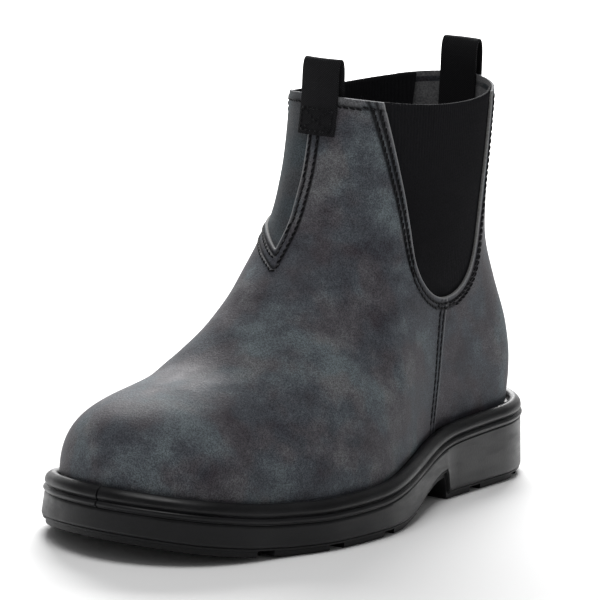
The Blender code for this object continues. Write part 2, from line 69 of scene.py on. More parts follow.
NOTCH_WIDTH = 0.009
NOTCH_REACH = 0.021
GROOVE_WIDTH = 0.0045
CENTRE_LUG_WIDTH = 0.026
GORE_THICKNESS = 0.0016
GORE_LAP = 0.007
GORE_TOP_WIDTH = 0.0855
GORE_FOOT_RADIUS = 0.031
GORE_FOOT_HEIGHT = 0.094
STRIP_EDGE = 0.0045
BACK_STRAP_WIDTH = 0.022
BACK_STRAP_THICKNESS = 0.0012
LOOP_WIDTH = 0.020
LOOP_THICKNESS = 0.0014
LOOP_RISE = 0.017
LOOP_LEG = 0.018

# Shares of the foot's length, then of the collar's height
WAIST_END = 0.68
HEEL_BREAST = 0.69
HEEL_PULL_START = 0.55
GORE_FRONT_TOP = 0.550
GORE_FOOT_PLACE = 0.715
GORE_MEDIAL_SHIFT = 0.035
QUARTER_SEAM_TOP = 0.722
QUARTER_SEAM_FOOT = 0.655
FORE_TREAD = (0.09, 0.62)
HEEL_TREAD = (0.715, 0.985)
PANEL_SEAM_PLACE = 0.427
PANEL_LEVEL_PLACE = 0.70
PANEL_TIP_HEIGHT = 0.635
PANEL_REAR_HEIGHT = 0.686
PANEL_CURVE = 6
BACK_STRAP_FOOT = 0.36
ABOVE_COLLAR = 1.06

# Shares of the ball's and heel's width
OUTLINE = {
    "columns": ("station", "lateral", "medial"),
    "rows": [
        (0.00, 0.390, 0.400),
        (0.15, 0.437, 0.484),
        (0.30, 0.535, 0.458),
        (0.38, 0.548, 0.440),
        (0.58, 0.545, 0.445),
        (0.80, 0.530, 0.478),
        (1.00, 0.510, 0.480),
    ],
}
WIDTH_CHANGE = (0.40, 0.72)
TOE_ROUND = (0.18, 2.45)
HEEL_ROUND = (0.14, 2.2)
TOE_SWING = -0.003
TOE_SWING_END = 0.40
# Upper edge of the sole: shares of the toe spring and of the heel lift
FEATHER = {
    "columns": ("station", "spring", "lift"),
    "rows": [
        (0.00, 1.00, 0.00),
        (0.08, 0.55, 0.00),
        (0.18, 0.12, 0.00),
        (0.28, 0.00, 0.00),
        (0.38, 0.00, 0.03),
        (0.55, 0.00, 0.38),
        (0.75, 0.00, 0.86),
        (1.00, 0.00, 1.00),
    ],
}
# Underside of the sole: shares of the toe spring, waist rise and heel bevel
TREAD = {
    "columns": ("station", "spring", "waist", "bevel"),
    "rows": [
        (0.000, 1.00, 0.00, 0.0),
        (0.060, 0.58, 0.00, 0.0),
        (0.130, 0.24, 0.00, 0.0),
        (0.200, 0.05, 0.00, 0.0),
        (0.260, 0.00, 0.00, 0.0),
        (0.470, 0.00, 0.00, 0.0),
        (0.530, 0.00, 0.22, 0.0),
        (0.600, 0.00, 0.72, 0.0),
        (0.650, 0.00, 0.96, 0.0),
        (WAIST_END, 0.00, 1.00, 0.0),
        (HEEL_BREAST, 0.00, 0.00, 0.0),
        (0.930, 0.00, 0.00, 0.0),
        (1.000, 0.00, 0.00, 1.0),
    ],
}
# Front and back lines: share of the foot's length, and share of the way from feather line to collar
RIDGE = {
    "columns": ("along", "height"),
    "rows": [
        (0.000, 0.000),
        (0.000, 0.064),
        (0.009, 0.128),
        (0.032, 0.174),
        (0.070, 0.206),
        (0.139, 0.238),
        (0.226, 0.278),
        (0.309, 0.382),
        (0.378, 0.484),
        (0.436, 0.580),
        (0.475, 0.682),
        (0.498, 0.796),
        (0.509, 0.911),
        (0.514, 1.000),
        (0.517, 1.080),
    ],
}
BACK = {
    "columns": ("along", "height"),
    "rows": [
        (1.000, 0.000),
        (1.006, 0.085),
        (1.000, 0.216),
        (0.973, 0.380),
        (0.944, 0.540),
        (0.930, 0.740),
        (0.932, 1.000),
        (0.933, 1.080),
    ],
}
FULLNESS = {
    "columns": ("station", "exponent"),
    "rows": [(0.00, 2.5), (0.15, 2.2), (0.35, 1.8), (0.50, 1.5), (1.00, 1.5)],
}
SHAFT = {
    "columns": ("height", "half width"),
    "rows": [(0.30, 0.460), (0.48, 0.465), (0.63, 0.475), (0.80, 0.495), (1.08, 0.515)],
}
SHAFT_BLEND = (0.29, 0.66)
SHAFT_ROUND = 2.3
# Side of the moulded sole: shares of SOLE_FLARE out and of BEAD_HEIGHT down from the feather line
SOLE_SIDE = {
    "columns": ("out", "down"),
    "rows": [
        (0.05, 0.11),
        (0.16, -0.02),
        (0.38, -0.07),
        (0.62, 0.02),
        (0.81, 0.20),
        (0.865, 0.40),
        (0.76, 0.58),
        (0.89, 0.64),
        (0.95, 0.755),
        (0.88, 0.87),
        (0.78, 0.92),
        (0.865, 1.00),
    ],
}
BEAD_HEIGHT = 0.0090
SOLE_FLARE = 0.0074
SOLE_EDGE_HEIGHT = 0.0010
SOLE_FOOT_INSET = 0.0006
# Ends of the long grooves: shares of the foot's length in from the front and back of a stretch of tread
GROOVE_MARGINS = (0.03, 0.02)
BELOW = -LUG_PITCH / 4

# Density of the dressed surfaces; they start a little below the feather line
AROUND = 240
UP = 150
LINING_AROUND = 110
LINING_UP = 60
BELOW_FEATHER = -0.006

# Distance of the two rows of stitches from each seam's edge
ROWS = {
    "panel": (0.0021, 0.0062),
    "gore": (0.0026, 0.0049),
    "quarter": (0.0022, 0.0054),
    "strap": (0.0022, 0.0022),
}
STRAP_ROW = ROWS["strap"][0]
STRAP_ROW_DEPTH = 0.0003
STRAP_ROW_HALF_WIDTH = 0.0005
STRAP_LEVELS = (-0.0006, -0.0016, -0.0020, -0.0024, -0.0028, -0.0034)
ROW_DEPTH = 0.0004
ROW_HALF_WIDTH = 0.0006
ROW_STEPS = (-1.9, -1.0, -0.45, 0.0, 0.45, 1.0, 1.9)
ROW_FADE = 0.0022
# Swells of a stitched edge, between its rows and before them, and the dip at its very edge
PUFF = 0.0001
PUFF_HALF_WIDTH = 0.0017
EDGE_PUFF_HALF_WIDTH = 0.0012
EDGE_LEVELS = (0.0005, 0.0012)
EDGE_DIP = 0.0002
EDGE_DIP_HALF_WIDTH = 0.0004
STITCH_PITCH = 0.0030
STITCH_LENGTH = 0.0029
STITCH_THICKNESS = 0.0009
STITCH_LEAN = 0.22
STITCH_RISE = 0.00022
# Rounded cut edge: how far it bulges, and the depths of its two rings as shares of the thickness
EDGE_BULGE = 0.00018
EDGE_RINGS = (0.22, 0.80)
LEATHER = 0.00125
SEAM_LAP = 0.005
SEAM_CORNER = 0.0005
CORNER_GROWTH = 0.25
STRAP_CORNER = 0.004
# Marks for the leather's colour: width of the painted shade on a row of stitches as a share of its groove,
# and of a rubbed edge
ROW_SHADE_SPREAD = 1.3
HEM_SHADE = 0.8
HEM_SHADE_HALF_WIDTH = 0.0007
RUBBED_HALF_WIDTH = 0.0005
# Row along the collar: distance from the rim, depth, half width, and spacing of the edges across it
HEM_ROW = 0.0036
HEM_DEPTH = 0.0004
HEM_HALF_WIDTH = 0.0005
HEM_STEP = 0.0004
# How far rows stop below the collar, from the sole or a gore, and from the gore's own rows
ROW_TOP = 0.0045
ROW_FOOT = 0.0035
ROW_CLEARANCE = 0.001
# Farthest leather that a stitch is laid on, and how far outside it the search starts
STITCH_SEARCH = 0.006
STITCH_START = 0.0015
# Stretch of the boot's length that holds its middle, which a stitch faces away from
CORE_Y = (0.17, 0.20)
# Thread of the pull loops: pitch, length and distance in from the webbing's edge
LOOP_STITCH_PITCH = 0.0024
LOOP_STITCH_LENGTH = 0.002
LOOP_STITCH_INSET = 0.002
LOOP_STITCH_TOP = 0.006

# Ribs of the elastic, and the grid that carries them
GORE_AROUND = (0.02, 0.94, 330)
GORE_UP = (0.25, 1.0, 70)
RIB_PITCH = 0.0017
RIB_DEPTH = 0.00022

# Parting line of the mould at the toe, with the distances out and down over which it starts and ends
NICK_WIDTH = 0.0009
NICK_DEPTH = 0.0011
NICK_START = (0.001, 0.003)
NICK_END = (0.0075, 0.0088)

# Soft creases over the instep: place up the front line, lean, half length round, depth, half width
CREASES = {
    "columns": ("place", "lean", "reach", "depth", "width"),
    "rows": [
        (0.385, 0.10, 0.55, 0.0007, 0.018),
        (0.480, 0.08, 0.60, 0.0012, 0.016),
        (0.555, 0.06, 0.52, 0.0010, 0.013),
        (0.640, 0.02, 0.50, 0.0009, 0.012),
        (0.730, -0.02, 0.45, 0.0006, 0.012),
    ],
}
# Low swells beside each crease: height, place and spread, against the trough's own
SWELL = (0.45, 1.7, 0.6)


def column(table, name):
    """One named column of a table, as an array."""
    place = table["columns"].index(name)
    return np.array([row[place] for row in table["rows"]], float)


def smooth(xs, ys, x):
    """Monotone cubic through the points, held level past both ends."""
    xs = np.asarray(xs, float)
    ys = np.asarray(ys, float)
    step = np.diff(xs)
    slope = np.diff(ys) / step
    turn = np.zeros(len(xs))
    for i in range(1, len(xs) - 1):
        before, after = slope[i - 1], slope[i]
        if before * after > 0:
            wa, wb = 2 * step[i] + step[i - 1], step[i] + 2 * step[i - 1]
            turn[i] = (wa + wb) / (wa / before + wb / after)
    turn[0], turn[-1] = slope[0], slope[-1]
    x = np.clip(x, xs[0], xs[-1])
    i = np.clip(np.searchsorted(xs, x) - 1, 0, len(step) - 1)
    t = (x - xs[i]) / step[i]
    rise = turn[i] * step[i] * t * (1 - t) ** 2 - turn[i + 1] * step[i] * t * t * (1 - t)
    return ys[i] + (ys[i + 1] - ys[i]) * t * t * (3 - 2 * t) + rise


def read(table, x, name):
    """A table's named column at x, measured in its first column."""
    return smooth(column(table, table["columns"][0]), column(table, name), x)


def bell(distance, half_width):
    return np.exp(-((distance / half_width) ** 2))


def ease(low, high, x):
    t = np.clip((x - low) / (high - low), 0, 1)
    return t * t * (3 - 2 * t)


def feather_height(station):
    spring = TOE_SPRING * read(FEATHER, station, "spring")
    return FORE_SOLE_HEIGHT + spring + HEEL_LIFT * read(FEATHER, station, "lift")


def tread_height(station):
    """Height of the underside, straight from row to row so that the heel breast stays steep."""
    places = column(TREAD, "station")
    spring, waist, bevel = [np.interp(station, places, column(TREAD, name)) for name in TREAD["columns"][1:]]
    return TOE_SPRING * spring + WAIST_RISE * waist + HEEL_BEVEL * bevel


def end_round(station):
    toe, toe_power = TOE_ROUND
    heel, heel_power = HEEL_ROUND
    front = np.clip(1 - station / toe, 0, 1) ** toe_power
    back = np.clip(1 - (1 - station) / heel, 0, 1) ** heel_power
    return np.sqrt(np.clip(1 - front, 0, 1) * np.clip(1 - back, 0, 1))


def foot_half_width(station, side):
    size = BALL_WIDTH + (HEEL_WIDTH - BALL_WIDTH) * ease(*WIDTH_CHANGE, station)
    share = np.where(side > 0, read(OUTLINE, station, "lateral"), read(OUTLINE, station, "medial"))
    return size * share * end_round(station)


def profile(table, start_height, count=1200):
    """Dense side profile from a table: lengths from the toe and heights, even in arc length."""
    along = column(table, "along") * FOOT_LENGTH
    height = start_height + column(table, "height") * (COLLAR_HEIGHT - start_height)
    chord = np.concatenate([[0], np.cumsum(np.hypot(np.diff(along), np.diff(height)))])
    fine = np.linspace(0, chord[-1], 4 * count)
    y, z = smooth(chord, along, fine), smooth(chord, height, fine)
    run = np.concatenate([[0], np.cumsum(np.hypot(np.diff(y), np.diff(z)))])
    even = np.linspace(0, run[-1], count)
    return np.interp(even, run, y), np.interp(even, run, z)


TOE_FEATHER = float(feather_height(0.0))
HEEL_FEATHER = float(feather_height(1.0))
RIDGE_Y, RIDGE_Z = profile(RIDGE, TOE_FEATHER)
BACK_Y, BACK_Z = profile(BACK, HEEL_FEATHER)


def side_x(y, z, side):
    """Signed half width of the last at length y from the toe and height z."""
    station = np.clip(y / FOOT_LENGTH, 0, 1)
    foot = feather_height(station)
    rising = np.maximum.accumulate(RIDGE_Y) + np.arange(len(RIDGE_Y)) * 1e-9
    past = np.maximum(y - rising[-1], 0)
    roof = np.interp(y, rising, RIDGE_Z) + 8 * past
    level = np.clip((z - foot) / np.maximum(roof - foot, 1e-6), 0, 1)
    crown = np.sqrt(np.clip(1 - level ** read(FULLNESS, station, "exponent"), 0, 1))
    back = np.interp(z, BACK_Z, BACK_Y)
    front = np.interp(z, RIDGE_Z, RIDGE_Y)
    waist = HEEL_PULL_START * FOOT_LENGTH
    ramp = np.clip((y - waist) / (back - waist), 0, 1) ** 1.5
    moved = np.clip((y + (FOOT_LENGTH - back) * ramp) / FOOT_LENGTH, 0, 1)
    foot_x = foot_half_width(moved, side) * crown
    across = np.clip((y - front) / (back - front), 0, 1)
    shaft = SHAFT_WIDTH * read(SHAFT, z / COLLAR_HEIGHT, "half width")
    shaft_x = shaft * np.sqrt(np.clip(1 - np.abs(2 * across - 1) ** SHAFT_ROUND, 0, 1))
    part = ease(SHAFT_BLEND[0] * COLLAR_HEIGHT, SHAFT_BLEND[1] * COLLAR_HEIGHT, z)
    swing = TOE_SWING * (1 - ease(0, TOE_SWING_END, station)) * (1 - part)
    return swing + side * ((1 - part) * foot_x + part * shaft_x)


def stations(count):
    """Shares of the way from front to back, closer together at both ends."""
    return (1 - np.cos(np.linspace(0, np.pi, count))) / 2


def loop_of(lateral, medial):
    """One closed loop from two toe-to-heel rows that share their end points."""
    return np.concatenate([lateral, medial[-2:0:-1]])


def ring(v, c):
    """One loop round the last at the shares c: v is 0 at the feather line and 1 at the collar."""
    steps = np.arange(len(RIDGE_Z))
    at = np.interp(COLLAR_HEIGHT, RIDGE_Z, steps) * v
    ridge_y, ridge_z = np.interp(at, steps, RIDGE_Y), np.interp(at, steps, RIDGE_Z)
    back_z = HEEL_FEATHER + v * (COLLAR_HEIGHT - HEEL_FEATHER)
    back_y = np.interp(back_z, BACK_Z, BACK_Y)
    chord = TOE_FEATHER + (HEEL_FEATHER - TOE_FEATHER) * c
    y = ridge_y + (back_y - ridge_y) * c
    z = ridge_z + (back_z - ridge_z) * c + (feather_height(c) - chord) * (1 - v) ** 2
    z = z - COLLAR_DIP * 4 * c * (1 - c) * v ** 4
    rows = [np.stack([side_x(y, z, side), y, z], 1) for side in (1, -1)]
    middle = (rows[0][:, 0] + rows[1][:, 0]) / 2
    for row in rows:
        row[0, 0] = middle[0]
        row[-1, 0] = middle[-1]
    return loop_of(*rows)


def feather_plan(out, c):
    """Plan of the feather line moved outward by out, as x and y from toe round to toe."""
    flat = ring(0.0, c)[:, :2]
    along = np.roll(flat, -1, axis=0) - np.roll(flat, 1, axis=0)
    normal = np.stack([along[:, 1], -along[:, 0]], 1)
    return flat + out * normal / np.linalg.norm(normal, axis=1, keepdims=True)


SOLE_PLAN = feather_plan(SOLE_FLARE, stations(AROUND))
CENTRE = np.array([
    (SOLE_PLAN[:, 0].max() + SOLE_PLAN[:, 0].min()) / 2,
    (SOLE_PLAN[:, 1].max() + SOLE_PLAN[:, 1].min()) / 2,
    0.0,
])


def socket(shader, name, value):
    shader.inputs[name].default_value = value


class Look:
    """A material's node tree with short calls for the nodes used here."""

    def __init__(self, name, roughness):
        self.made = bpy.data.materials.new(name)
        self.made.use_nodes = True
        self.tree = self.made.node_tree
        self.shader = self.tree.nodes["Principled BSDF"]
        socket(self.shader, "Roughness", roughness)
        self.place = self.add("ShaderNodeTexCoord").outputs["Object"]

    def add(self, kind, **settings):
        node = self.tree.nodes.new(kind)
        for key, value in settings.items():
            setattr(node, key, value)
        return node

    def link(self, source, target):
        self.tree.links.new(source, target)

    def stretched(self, scale, turn=(0.0, 0.0, 0.0)):
        node = self.add("ShaderNodeMapping")
        self.link(self.place, node.inputs["Vector"])
        node.inputs["Scale"].default_value = scale
        node.inputs["Rotation"].default_value = turn
        return node.outputs["Vector"]

    def noise(self, scale, detail=3.0, roughness=0.55, vector=None, distortion=0.0):
        node = self.add("ShaderNodeTexNoise")
        self.link(vector or self.place, node.inputs["Vector"])
        socket(node, "Scale", scale)
        socket(node, "Detail", detail)
        socket(node, "Roughness", roughness)
        socket(node, "Distortion", distortion)
        return node.outputs["Fac"]

    def cells(self, scale, vector=None):
        node = self.add("ShaderNodeTexVoronoi")
        self.link(vector or self.place, node.inputs["Vector"])
        socket(node, "Scale", scale)
        return node.outputs["Distance"]

    def ribs(self, scale, direction, vector=None):
        node = self.add("ShaderNodeTexWave", wave_type="BANDS", bands_direction=direction)
        self.link(vector or self.place, node.inputs["Vector"])
        socket(node, "Scale", scale)
        return node.outputs["Fac"]

    def ramp(self, factor, stops):
        node = self.add("ShaderNodeValToRGB")
        self.link(factor, node.inputs["Fac"])
        ramp = node.color_ramp
        while len(ramp.elements) < len(stops):
            ramp.elements.new(1.0)
        for element, (where, colour) in zip(ramp.elements, stops):
            element.position = where
            element.color = (*colour, 1.0)
        return node.outputs["Color"]

    def span(self, factor, low, high, start=0.0, end=1.0):
        node = self.add("ShaderNodeMapRange", interpolation_type="SMOOTHSTEP")
        self.link(factor, node.inputs["Value"])
        socket(node, "From Min", start)
        socket(node, "From Max", end)
        socket(node, "To Min", low)
        socket(node, "To Max", high)
        return node.outputs["Result"]

    def mix(self, factor, first, second, blend="MIX"):
        node = self.add("ShaderNodeMix", data_type="RGBA", blend_type=blend)
        if isinstance(factor, float):
            node.inputs[0].default_value = factor
        else:
            self.link(factor, node.inputs[0])
        for place, value in ((6, first), (7, second)):
            if isinstance(value, tuple):
                node.inputs[place].default_value = (*value, 1.0)
            else:
                self.link(value, node.inputs[place])
        return node.outputs[2]

    def maths(self, operation, first, second):
        node = self.add("ShaderNodeMath", operation=operation)
        for place, value in ((0, first), (1, second)):
            if isinstance(value, float):
                node.inputs[place].default_value = value
            else:
                self.link(value, node.inputs[place])
        return node.outputs[0]

    def weigh(self, *parts):
        """A weighed sum of factors."""
        total = None
        for factor, weight in parts:
            part = self.maths("MULTIPLY", factor, weight)
            total = part if total is None else self.maths("ADD", total, part)
        return total

    def mark(self, name):
        """A mark stored on the piece's points."""
        return self.add("ShaderNodeAttribute", attribute_name=name).outputs["Fac"]

    def bump(self, height, distance, strength=1.0, below=None):
        node = self.add("ShaderNodeBump")
        self.link(height, node.inputs["Height"])
        socket(node, "Distance", distance)
        socket(node, "Strength", strength)
        if below:
            self.link(below, node.inputs["Normal"])
        return node.outputs["Normal"]

    def finish(self, colour=None, roughness=None, normal=None):
        for name, value in (("Base Color", colour), ("Roughness", roughness), ("Normal", normal)):
            if value is not None:
                self.link(value, self.shader.inputs[name])
        return self.made


# Dark, middle and pale tones of the leather
NUBUCK_TONES = ((0.040, 0.038, 0.044), (0.068, 0.070, 0.077), (0.120, 0.132, 0.136))
PANEL_TONES = ((0.034, 0.038, 0.043), (0.047, 0.054, 0.058), (0.070, 0.080, 0.084))


def nubuck_look(name, tones, cloud_shift, contrast):
    """Waxed nubuck: cloudy rubbed patches, sandy grain, pores, painted shade along the rows of stitches and
    rubbed edges.
    """
    dark, middle, pale = tones
    look = Look(name, 0.62)
    shifted = look.stretched((1.0, 0.85, 1.1), (0.3, 0.2, cloud_shift))
    clouds = look.noise(32.0, 3.0, 0.5, shifted, 0.15)
    patches = look.noise(85.0, 4.0, 0.6, shifted, 0.1)
    flecks = look.noise(620.0, 3.0, 0.7)
    mixed = look.weigh((clouds, 0.50), (patches, 0.32), (flecks, 0.18))
    reach = 0.115 / contrast
    base = look.ramp(mixed, [(0.5 - reach, dark), (0.5, middle), (0.5 + reach, pale)])
    turned_place = look.stretched((1.0, 1.0, 1.0), (0.9, 0.4, 1.7))
    warm = look.span(look.noise(48.0, 2.0, 0.5, turned_place), 0.0, 1.0, 0.42, 0.60)
    tinted = look.mix(1.0, base, look.mix(warm, (0.94, 1.01, 1.06), (1.06, 0.98, 0.99)), "MULTIPLY")
    grains = look.weigh((look.noise(1500.0, 2.0, 0.6), 0.5), (look.noise(2700.0, 2.0, 0.6), 0.5))
    sand = look.span(grains, 0.0, 1.0, 0.40, 0.60)
    grainy = look.mix(1.0, tinted, look.mix(sand, (0.62, 0.62, 0.62), (1.44, 1.44, 1.44)), "MULTIPLY")
    # Painted shade: the leather on the rows of stitches and on the collar's row is darkened to near black
    stitch_row_shade = look.mix(look.maths("MULTIPLY", look.mark("stitch_row_shade"), 0.88), grainy, (0.005, 0.005, 0.006))
    worn = look.mix(look.maths("MULTIPLY", look.mark("rubbed"), 0.90), stitch_row_shade, (0.30, 0.305, 0.31))
    rough = look.span(mixed, 0.52, 0.74, 0.38, 0.62)
    pores = look.bump(look.cells(850.0), 0.00016, 0.4)
    nap = look.bump(look.noise(1500.0, 3.0, 0.65), 0.00022, 0.6, pores)
    soft = look.bump(look.noise(150.0, 3.0, 0.5), 0.0006, 0.35, nap)
    made = look.finish(worn, rough, soft)
    socket(look.shader, "Specular IOR Level", 0.13)
    socket(look.shader, "Sheen Weight", 0.03)
    socket(look.shader, "Sheen Roughness", 0.45)
    socket(look.shader, "Sheen Tint", (0.78, 0.82, 0.86, 1.0))
    return made


def raw_edge_look():
    """Cut edge of the leather: paler, fibrous."""
    look = Look("raw leather edge", 0.85)
    fibres = look.noise(1500.0, 3.0, 0.6)
    colour = look.ramp(fibres, [(0.3, (0.10, 0.10, 0.10)), (0.7, (0.25, 0.25, 0.245))])
    return look.finish(colour, None, look.bump(fibres, 0.0001, 0.6))


def thread_look():
    """Waxed black thread with a fine twist, and small painted glints: pale flecks in its colour."""
    look = Look("black thread", 0.55)
    twist = look.noise(1500.0, 2.0, 0.5)
    # Painted highlight: the palest stop puts small glints into the thread's colour
    stops = [(0.35, (0.002, 0.002, 0.003)), (0.60, (0.005, 0.005, 0.006)), (0.74, (0.06, 0.06, 0.065))]
    colour = look.ramp(twist, stops)
    made = look.finish(colour, None, look.bump(twist, 0.0001, 0.6))
    socket(look.shader, "Specular IOR Level", 0.12)
    return made


def elastic_look():
    """Black elastic: fine cross weave over the modelled ribs."""
    look = Look("black elastic", 0.9)
    weave = look.ribs(620.0, "Z")
    fuzz = look.noise(1900.0, 3.0, 0.6)
    colour = look.ramp(fuzz, [(0.3, (0.004, 0.004, 0.005)), (0.75, (0.012, 0.012, 0.014))])
    made = look.finish(colour, None, look.bump(look.weigh((weave, 0.5), (fuzz, 1.0)), 0.00016, 0.6))
    socket(look.shader, "Specular IOR Level", 0.15)
    return made


def webbing_look():
    """Woven pull tape: a small twill and a soft nap."""
    look = Look("black webbing", 0.85)
    tilted = look.stretched((1.0, 1.0, 1.0), (0.0, 0.7, 0.0))
    weave = look.maths("MULTIPLY", look.ribs(420.0, "X", tilted), look.ribs(420.0, "Z", tilted))
    colour = look.ramp(weave, [(0.1, (0.005, 0.005, 0.006)), (0.8, (0.022, 0.022, 0.024))])
    made = look.finish(colour, None, look.bump(weave, 0.00025, 0.8))
    socket(look.shader, "Specular IOR Level", 0.15)
    return made


def compound_look():
    """Moulded sole: satin black with a light orange peel and faint dusty scuffs."""
    look = Look("black sole compound", 0.4)
    scuff = look.noise(70.0, 5.0, 0.65, look.stretched((1.0, 0.35, 2.0)))
    colour = look.ramp(scuff, [(0.35, (0.0035, 0.0036, 0.0042)), (0.70, (0.0085, 0.0085, 0.0100))])
    rough = look.span(scuff, 0.34, 0.50, 0.35, 0.7)
    peel = look.bump(look.noise(900.0, 2.0, 0.5), 0.00012, 0.4)
    made = look.finish(colour, rough, peel)
    socket(look.shader, "Specular IOR Level", 0.30)
    return made


def tread_look():
    """Tread rubber: duller than the body above it."""
    look = Look("black tread rubber", 0.5)
    dust = look.noise(120.0, 4.0, 0.6)
    colour = look.ramp(dust, [(0.35, (0.0035, 0.0036, 0.0040)), (0.7, (0.0080, 0.0080, 0.0092))])
    made = look.finish(colour, look.span(dust, 0.45, 0.6), look.bump(look.noise(900.0), 0.0001, 0.4))
    socket(look.shader, "Specular IOR Level", 0.25)
    return made


def cloth_look(name, dark, pale):
    """Plain brushed textile for lining and insole."""
    look = Look(name, 0.9)
    fuzz = look.weigh((look.noise(1200.0, 3.0, 0.6), 0.7), (look.noise(160.0, 3.0, 0.6), 0.3))
    colour = look.ramp(fuzz, [(0.38, dark), (0.62, pale)])
    made = look.finish(colour, None, look.bump(fuzz, 0.0002, 0.6))
    socket(look.shader, "Sheen Weight", 0.2)
    return made


def dress(obj, looks, node=None):
    """Gives a piece its materials, its body and the node that it stands for."""
    for look in looks:
        obj.data.materials.append(look)
    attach(obj, "root")
    if node:
        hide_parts(node)
    return obj


def new_mesh(name, points, faces, marks=None, sharp=50):
    """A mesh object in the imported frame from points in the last's own coordinates."""
    mesh = bpy.data.meshes.new(name)
    mesh.from_pydata((np.asarray(points) - CENTRE).tolist(), [], faces)
    if marks is not None:
        mesh.polygons.foreach_set("material_index", np.asarray(marks, dtype=np.int32))
    mesh.shade_smooth()
    mesh.set_sharp_from_angle(angle=math.radians(sharp))
    obj = bpy.data.objects.new(name, mesh)
    bpy.context.scene.collection.objects.link(obj)
    return obj


def skin_faces(rows, around, closed):
    """Quads between neighbouring loops; closed joins the last loop to the first."""
    faces = []
    for r in range(rows if closed else rows - 1):
        n = (r + 1) % rows
        for i in range(around):
            j = (i + 1) % around
            faces.append((r * around + i, r * around + j, n * around + j, n * around + i))
    return faces


def gore_outline(shift):
    """The U of a gore seen from the side; shift moves it back, as a share of the foot's length."""
    radius = GORE_FOOT_RADIUS
    middle = ((GORE_FOOT_PLACE + shift) * FOOT_LENGTH, GORE_FOOT_HEIGHT + radius)
    top = COLLAR_HEIGHT * ABOVE_COLLAR
    front = (GORE_FRONT_TOP + shift) * FOOT_LENGTH
    front_top, back_top = (front, top), (front + GORE_TOP_WIDTH, top)
    first = tangent_angle(front_top, middle, radius, 1)
    last = tangent_angle(back_top, middle, radius, -1) + 2 * math.pi
    angles = np.linspace(first, last, 60)
    foot = [(middle[0] + radius * math.cos(a), middle[1] + radius * math.sin(a)) for a in angles]
    return [front_top] + foot + [back_top]


def tangent_angle(point, middle, radius, turn):
    """Angle on a circle at which a line from an outside point touches it, on the side given by turn."""
    along, up = point[0] - middle[0], point[1] - middle[1]
    return math.atan2(up, along) + turn * math.acos(radius / math.hypot(along, up))


def line_distance(points, y, z):
    """Distance in the side view from an open line, negative on its left as it is drawn."""
    best = np.full(np.shape(y), 1e9)
    sign = np.ones(np.shape(y))
    for (ya, za), (yb, zb) in zip(points[:-1], points[1:]):
        dy, dz = yb - ya, zb - za
        t = np.clip(((y - ya) * dy + (z - za) * dz) / (dy * dy + dz * dz), 0, 1)
        away = np.hypot(y - ya - t * dy, z - za - t * dz)
        turn = dy * (z - za) - dz * (y - ya)
        near = away < best - 1e-12
        best = np.where(near, away, best)
        sign = np.where(near, np.where(turn > 0, -1.0, 1.0), sign)
    return best * sign


def panel_edge(y):
    """Height of the inner front panel's lower edge: steep at the point, level at the gore."""
    start, end = PANEL_SEAM_PLACE * FOOT_LENGTH, PANEL_LEVEL_PLACE * FOOT_LENGTH
    t = np.clip((y - start) / (end - start), -0.03, 1.0)
    rise = (PANEL_REAR_HEIGHT - PANEL_TIP_HEIGHT) * COLLAR_HEIGHT
    return COLLAR_HEIGHT * PANEL_TIP_HEIGHT + rise * (1 - (1 - t) ** PANEL_CURVE)


def soft_max(a, b, corner):
    """The larger of two distances, with its corner rounded."""
    return (a + b + np.sqrt((a - b) ** 2 + corner ** 2)) / 2


def panel_line():
    """The panel's lower edge on the inner side of the last, run on straight past its point."""
    start, end = PANEL_SEAM_PLACE * FOOT_LENGTH, PANEL_LEVEL_PLACE * FOOT_LENGTH
    y = start + (end - start) * np.linspace(0, 1, 90) ** 2
    z = panel_edge(y)
    line = np.stack([side_x(y, z, -1), y, z], 1)
    line = line[line[:, 0] < -STRIP_EDGE]
    ahead = line[0] - line[6]
    return np.vstack([line[0] + ahead * STRIP_EDGE * 6 / np.linalg.norm(ahead), line])


def panel_distance(grid, normal):
    """Distance over the surface outside the inner front panel, negative inside it."""
    line = panel_line()
    best = np.full(grid.shape[:2], 1e9)
    below = np.zeros(grid.shape[:2])
    for first, second in zip(line[:-1], line[1:]):
        way = second - first
        t = np.clip((grid - first) @ way / (way @ way), 0, 1)
        off = grid - first - t[..., None] * way
        away = np.linalg.norm(off, axis=2)
        turn = (np.cross(way, normal) * off).sum(2)
        near = away < best - 1e-12
        best = np.where(near, away, best)
        below = np.where(near, np.where(turn > 0, -away, away), below)
    front = grid[..., 0] + STRIP_EDGE
    return soft_max(front, below, SEAM_CORNER + CORNER_GROWTH * np.clip(np.maximum(front, below), 0, None))


def gore_distance(x, y, z):
    """Distance outside the gore of the side that a point lies on."""
    lateral, medial = gore_outline(0.0), gore_outline(GORE_MEDIAL_SHIFT)
    return np.where(x >= 0, line_distance(lateral, y, z), line_distance(medial, y, z))


def quarter_distance(x, y, z):
    """Distance in front of the side seam, negative behind it."""
    top = GORE_FOOT_HEIGHT + 0.5 * GORE_FOOT_RADIUS
    foot_y, top_y = QUARTER_SEAM_FOOT * FOOT_LENGTH, QUARTER_SEAM_TOP * FOOT_LENGTH
    tilt = math.atan2(top_y - foot_y, top)
    along = y - foot_y - np.where(x < 0, GORE_MEDIAL_SHIFT * FOOT_LENGTH, 0.0)
    return z * math.sin(tilt) - along * math.cos(tilt)


def strap_distance(x, y, z):
    """Distance outside the back strap's outline."""
    low = COLLAR_HEIGHT * BACK_STRAP_FOOT
    outside = soft_max(np.abs(x) - BACK_STRAP_WIDTH / 2, low - z, STRAP_CORNER)
    return np.where(y < GORE_FOOT_PLACE * FOOT_LENGTH, 1.0, outside)


FIELDS = ("x", "y", "z", "nx", "ny", "nz", "c", "v", "gore", "panel", "quarter", "strap", "rim")
GORE_FIELD = FIELDS.index("gore")


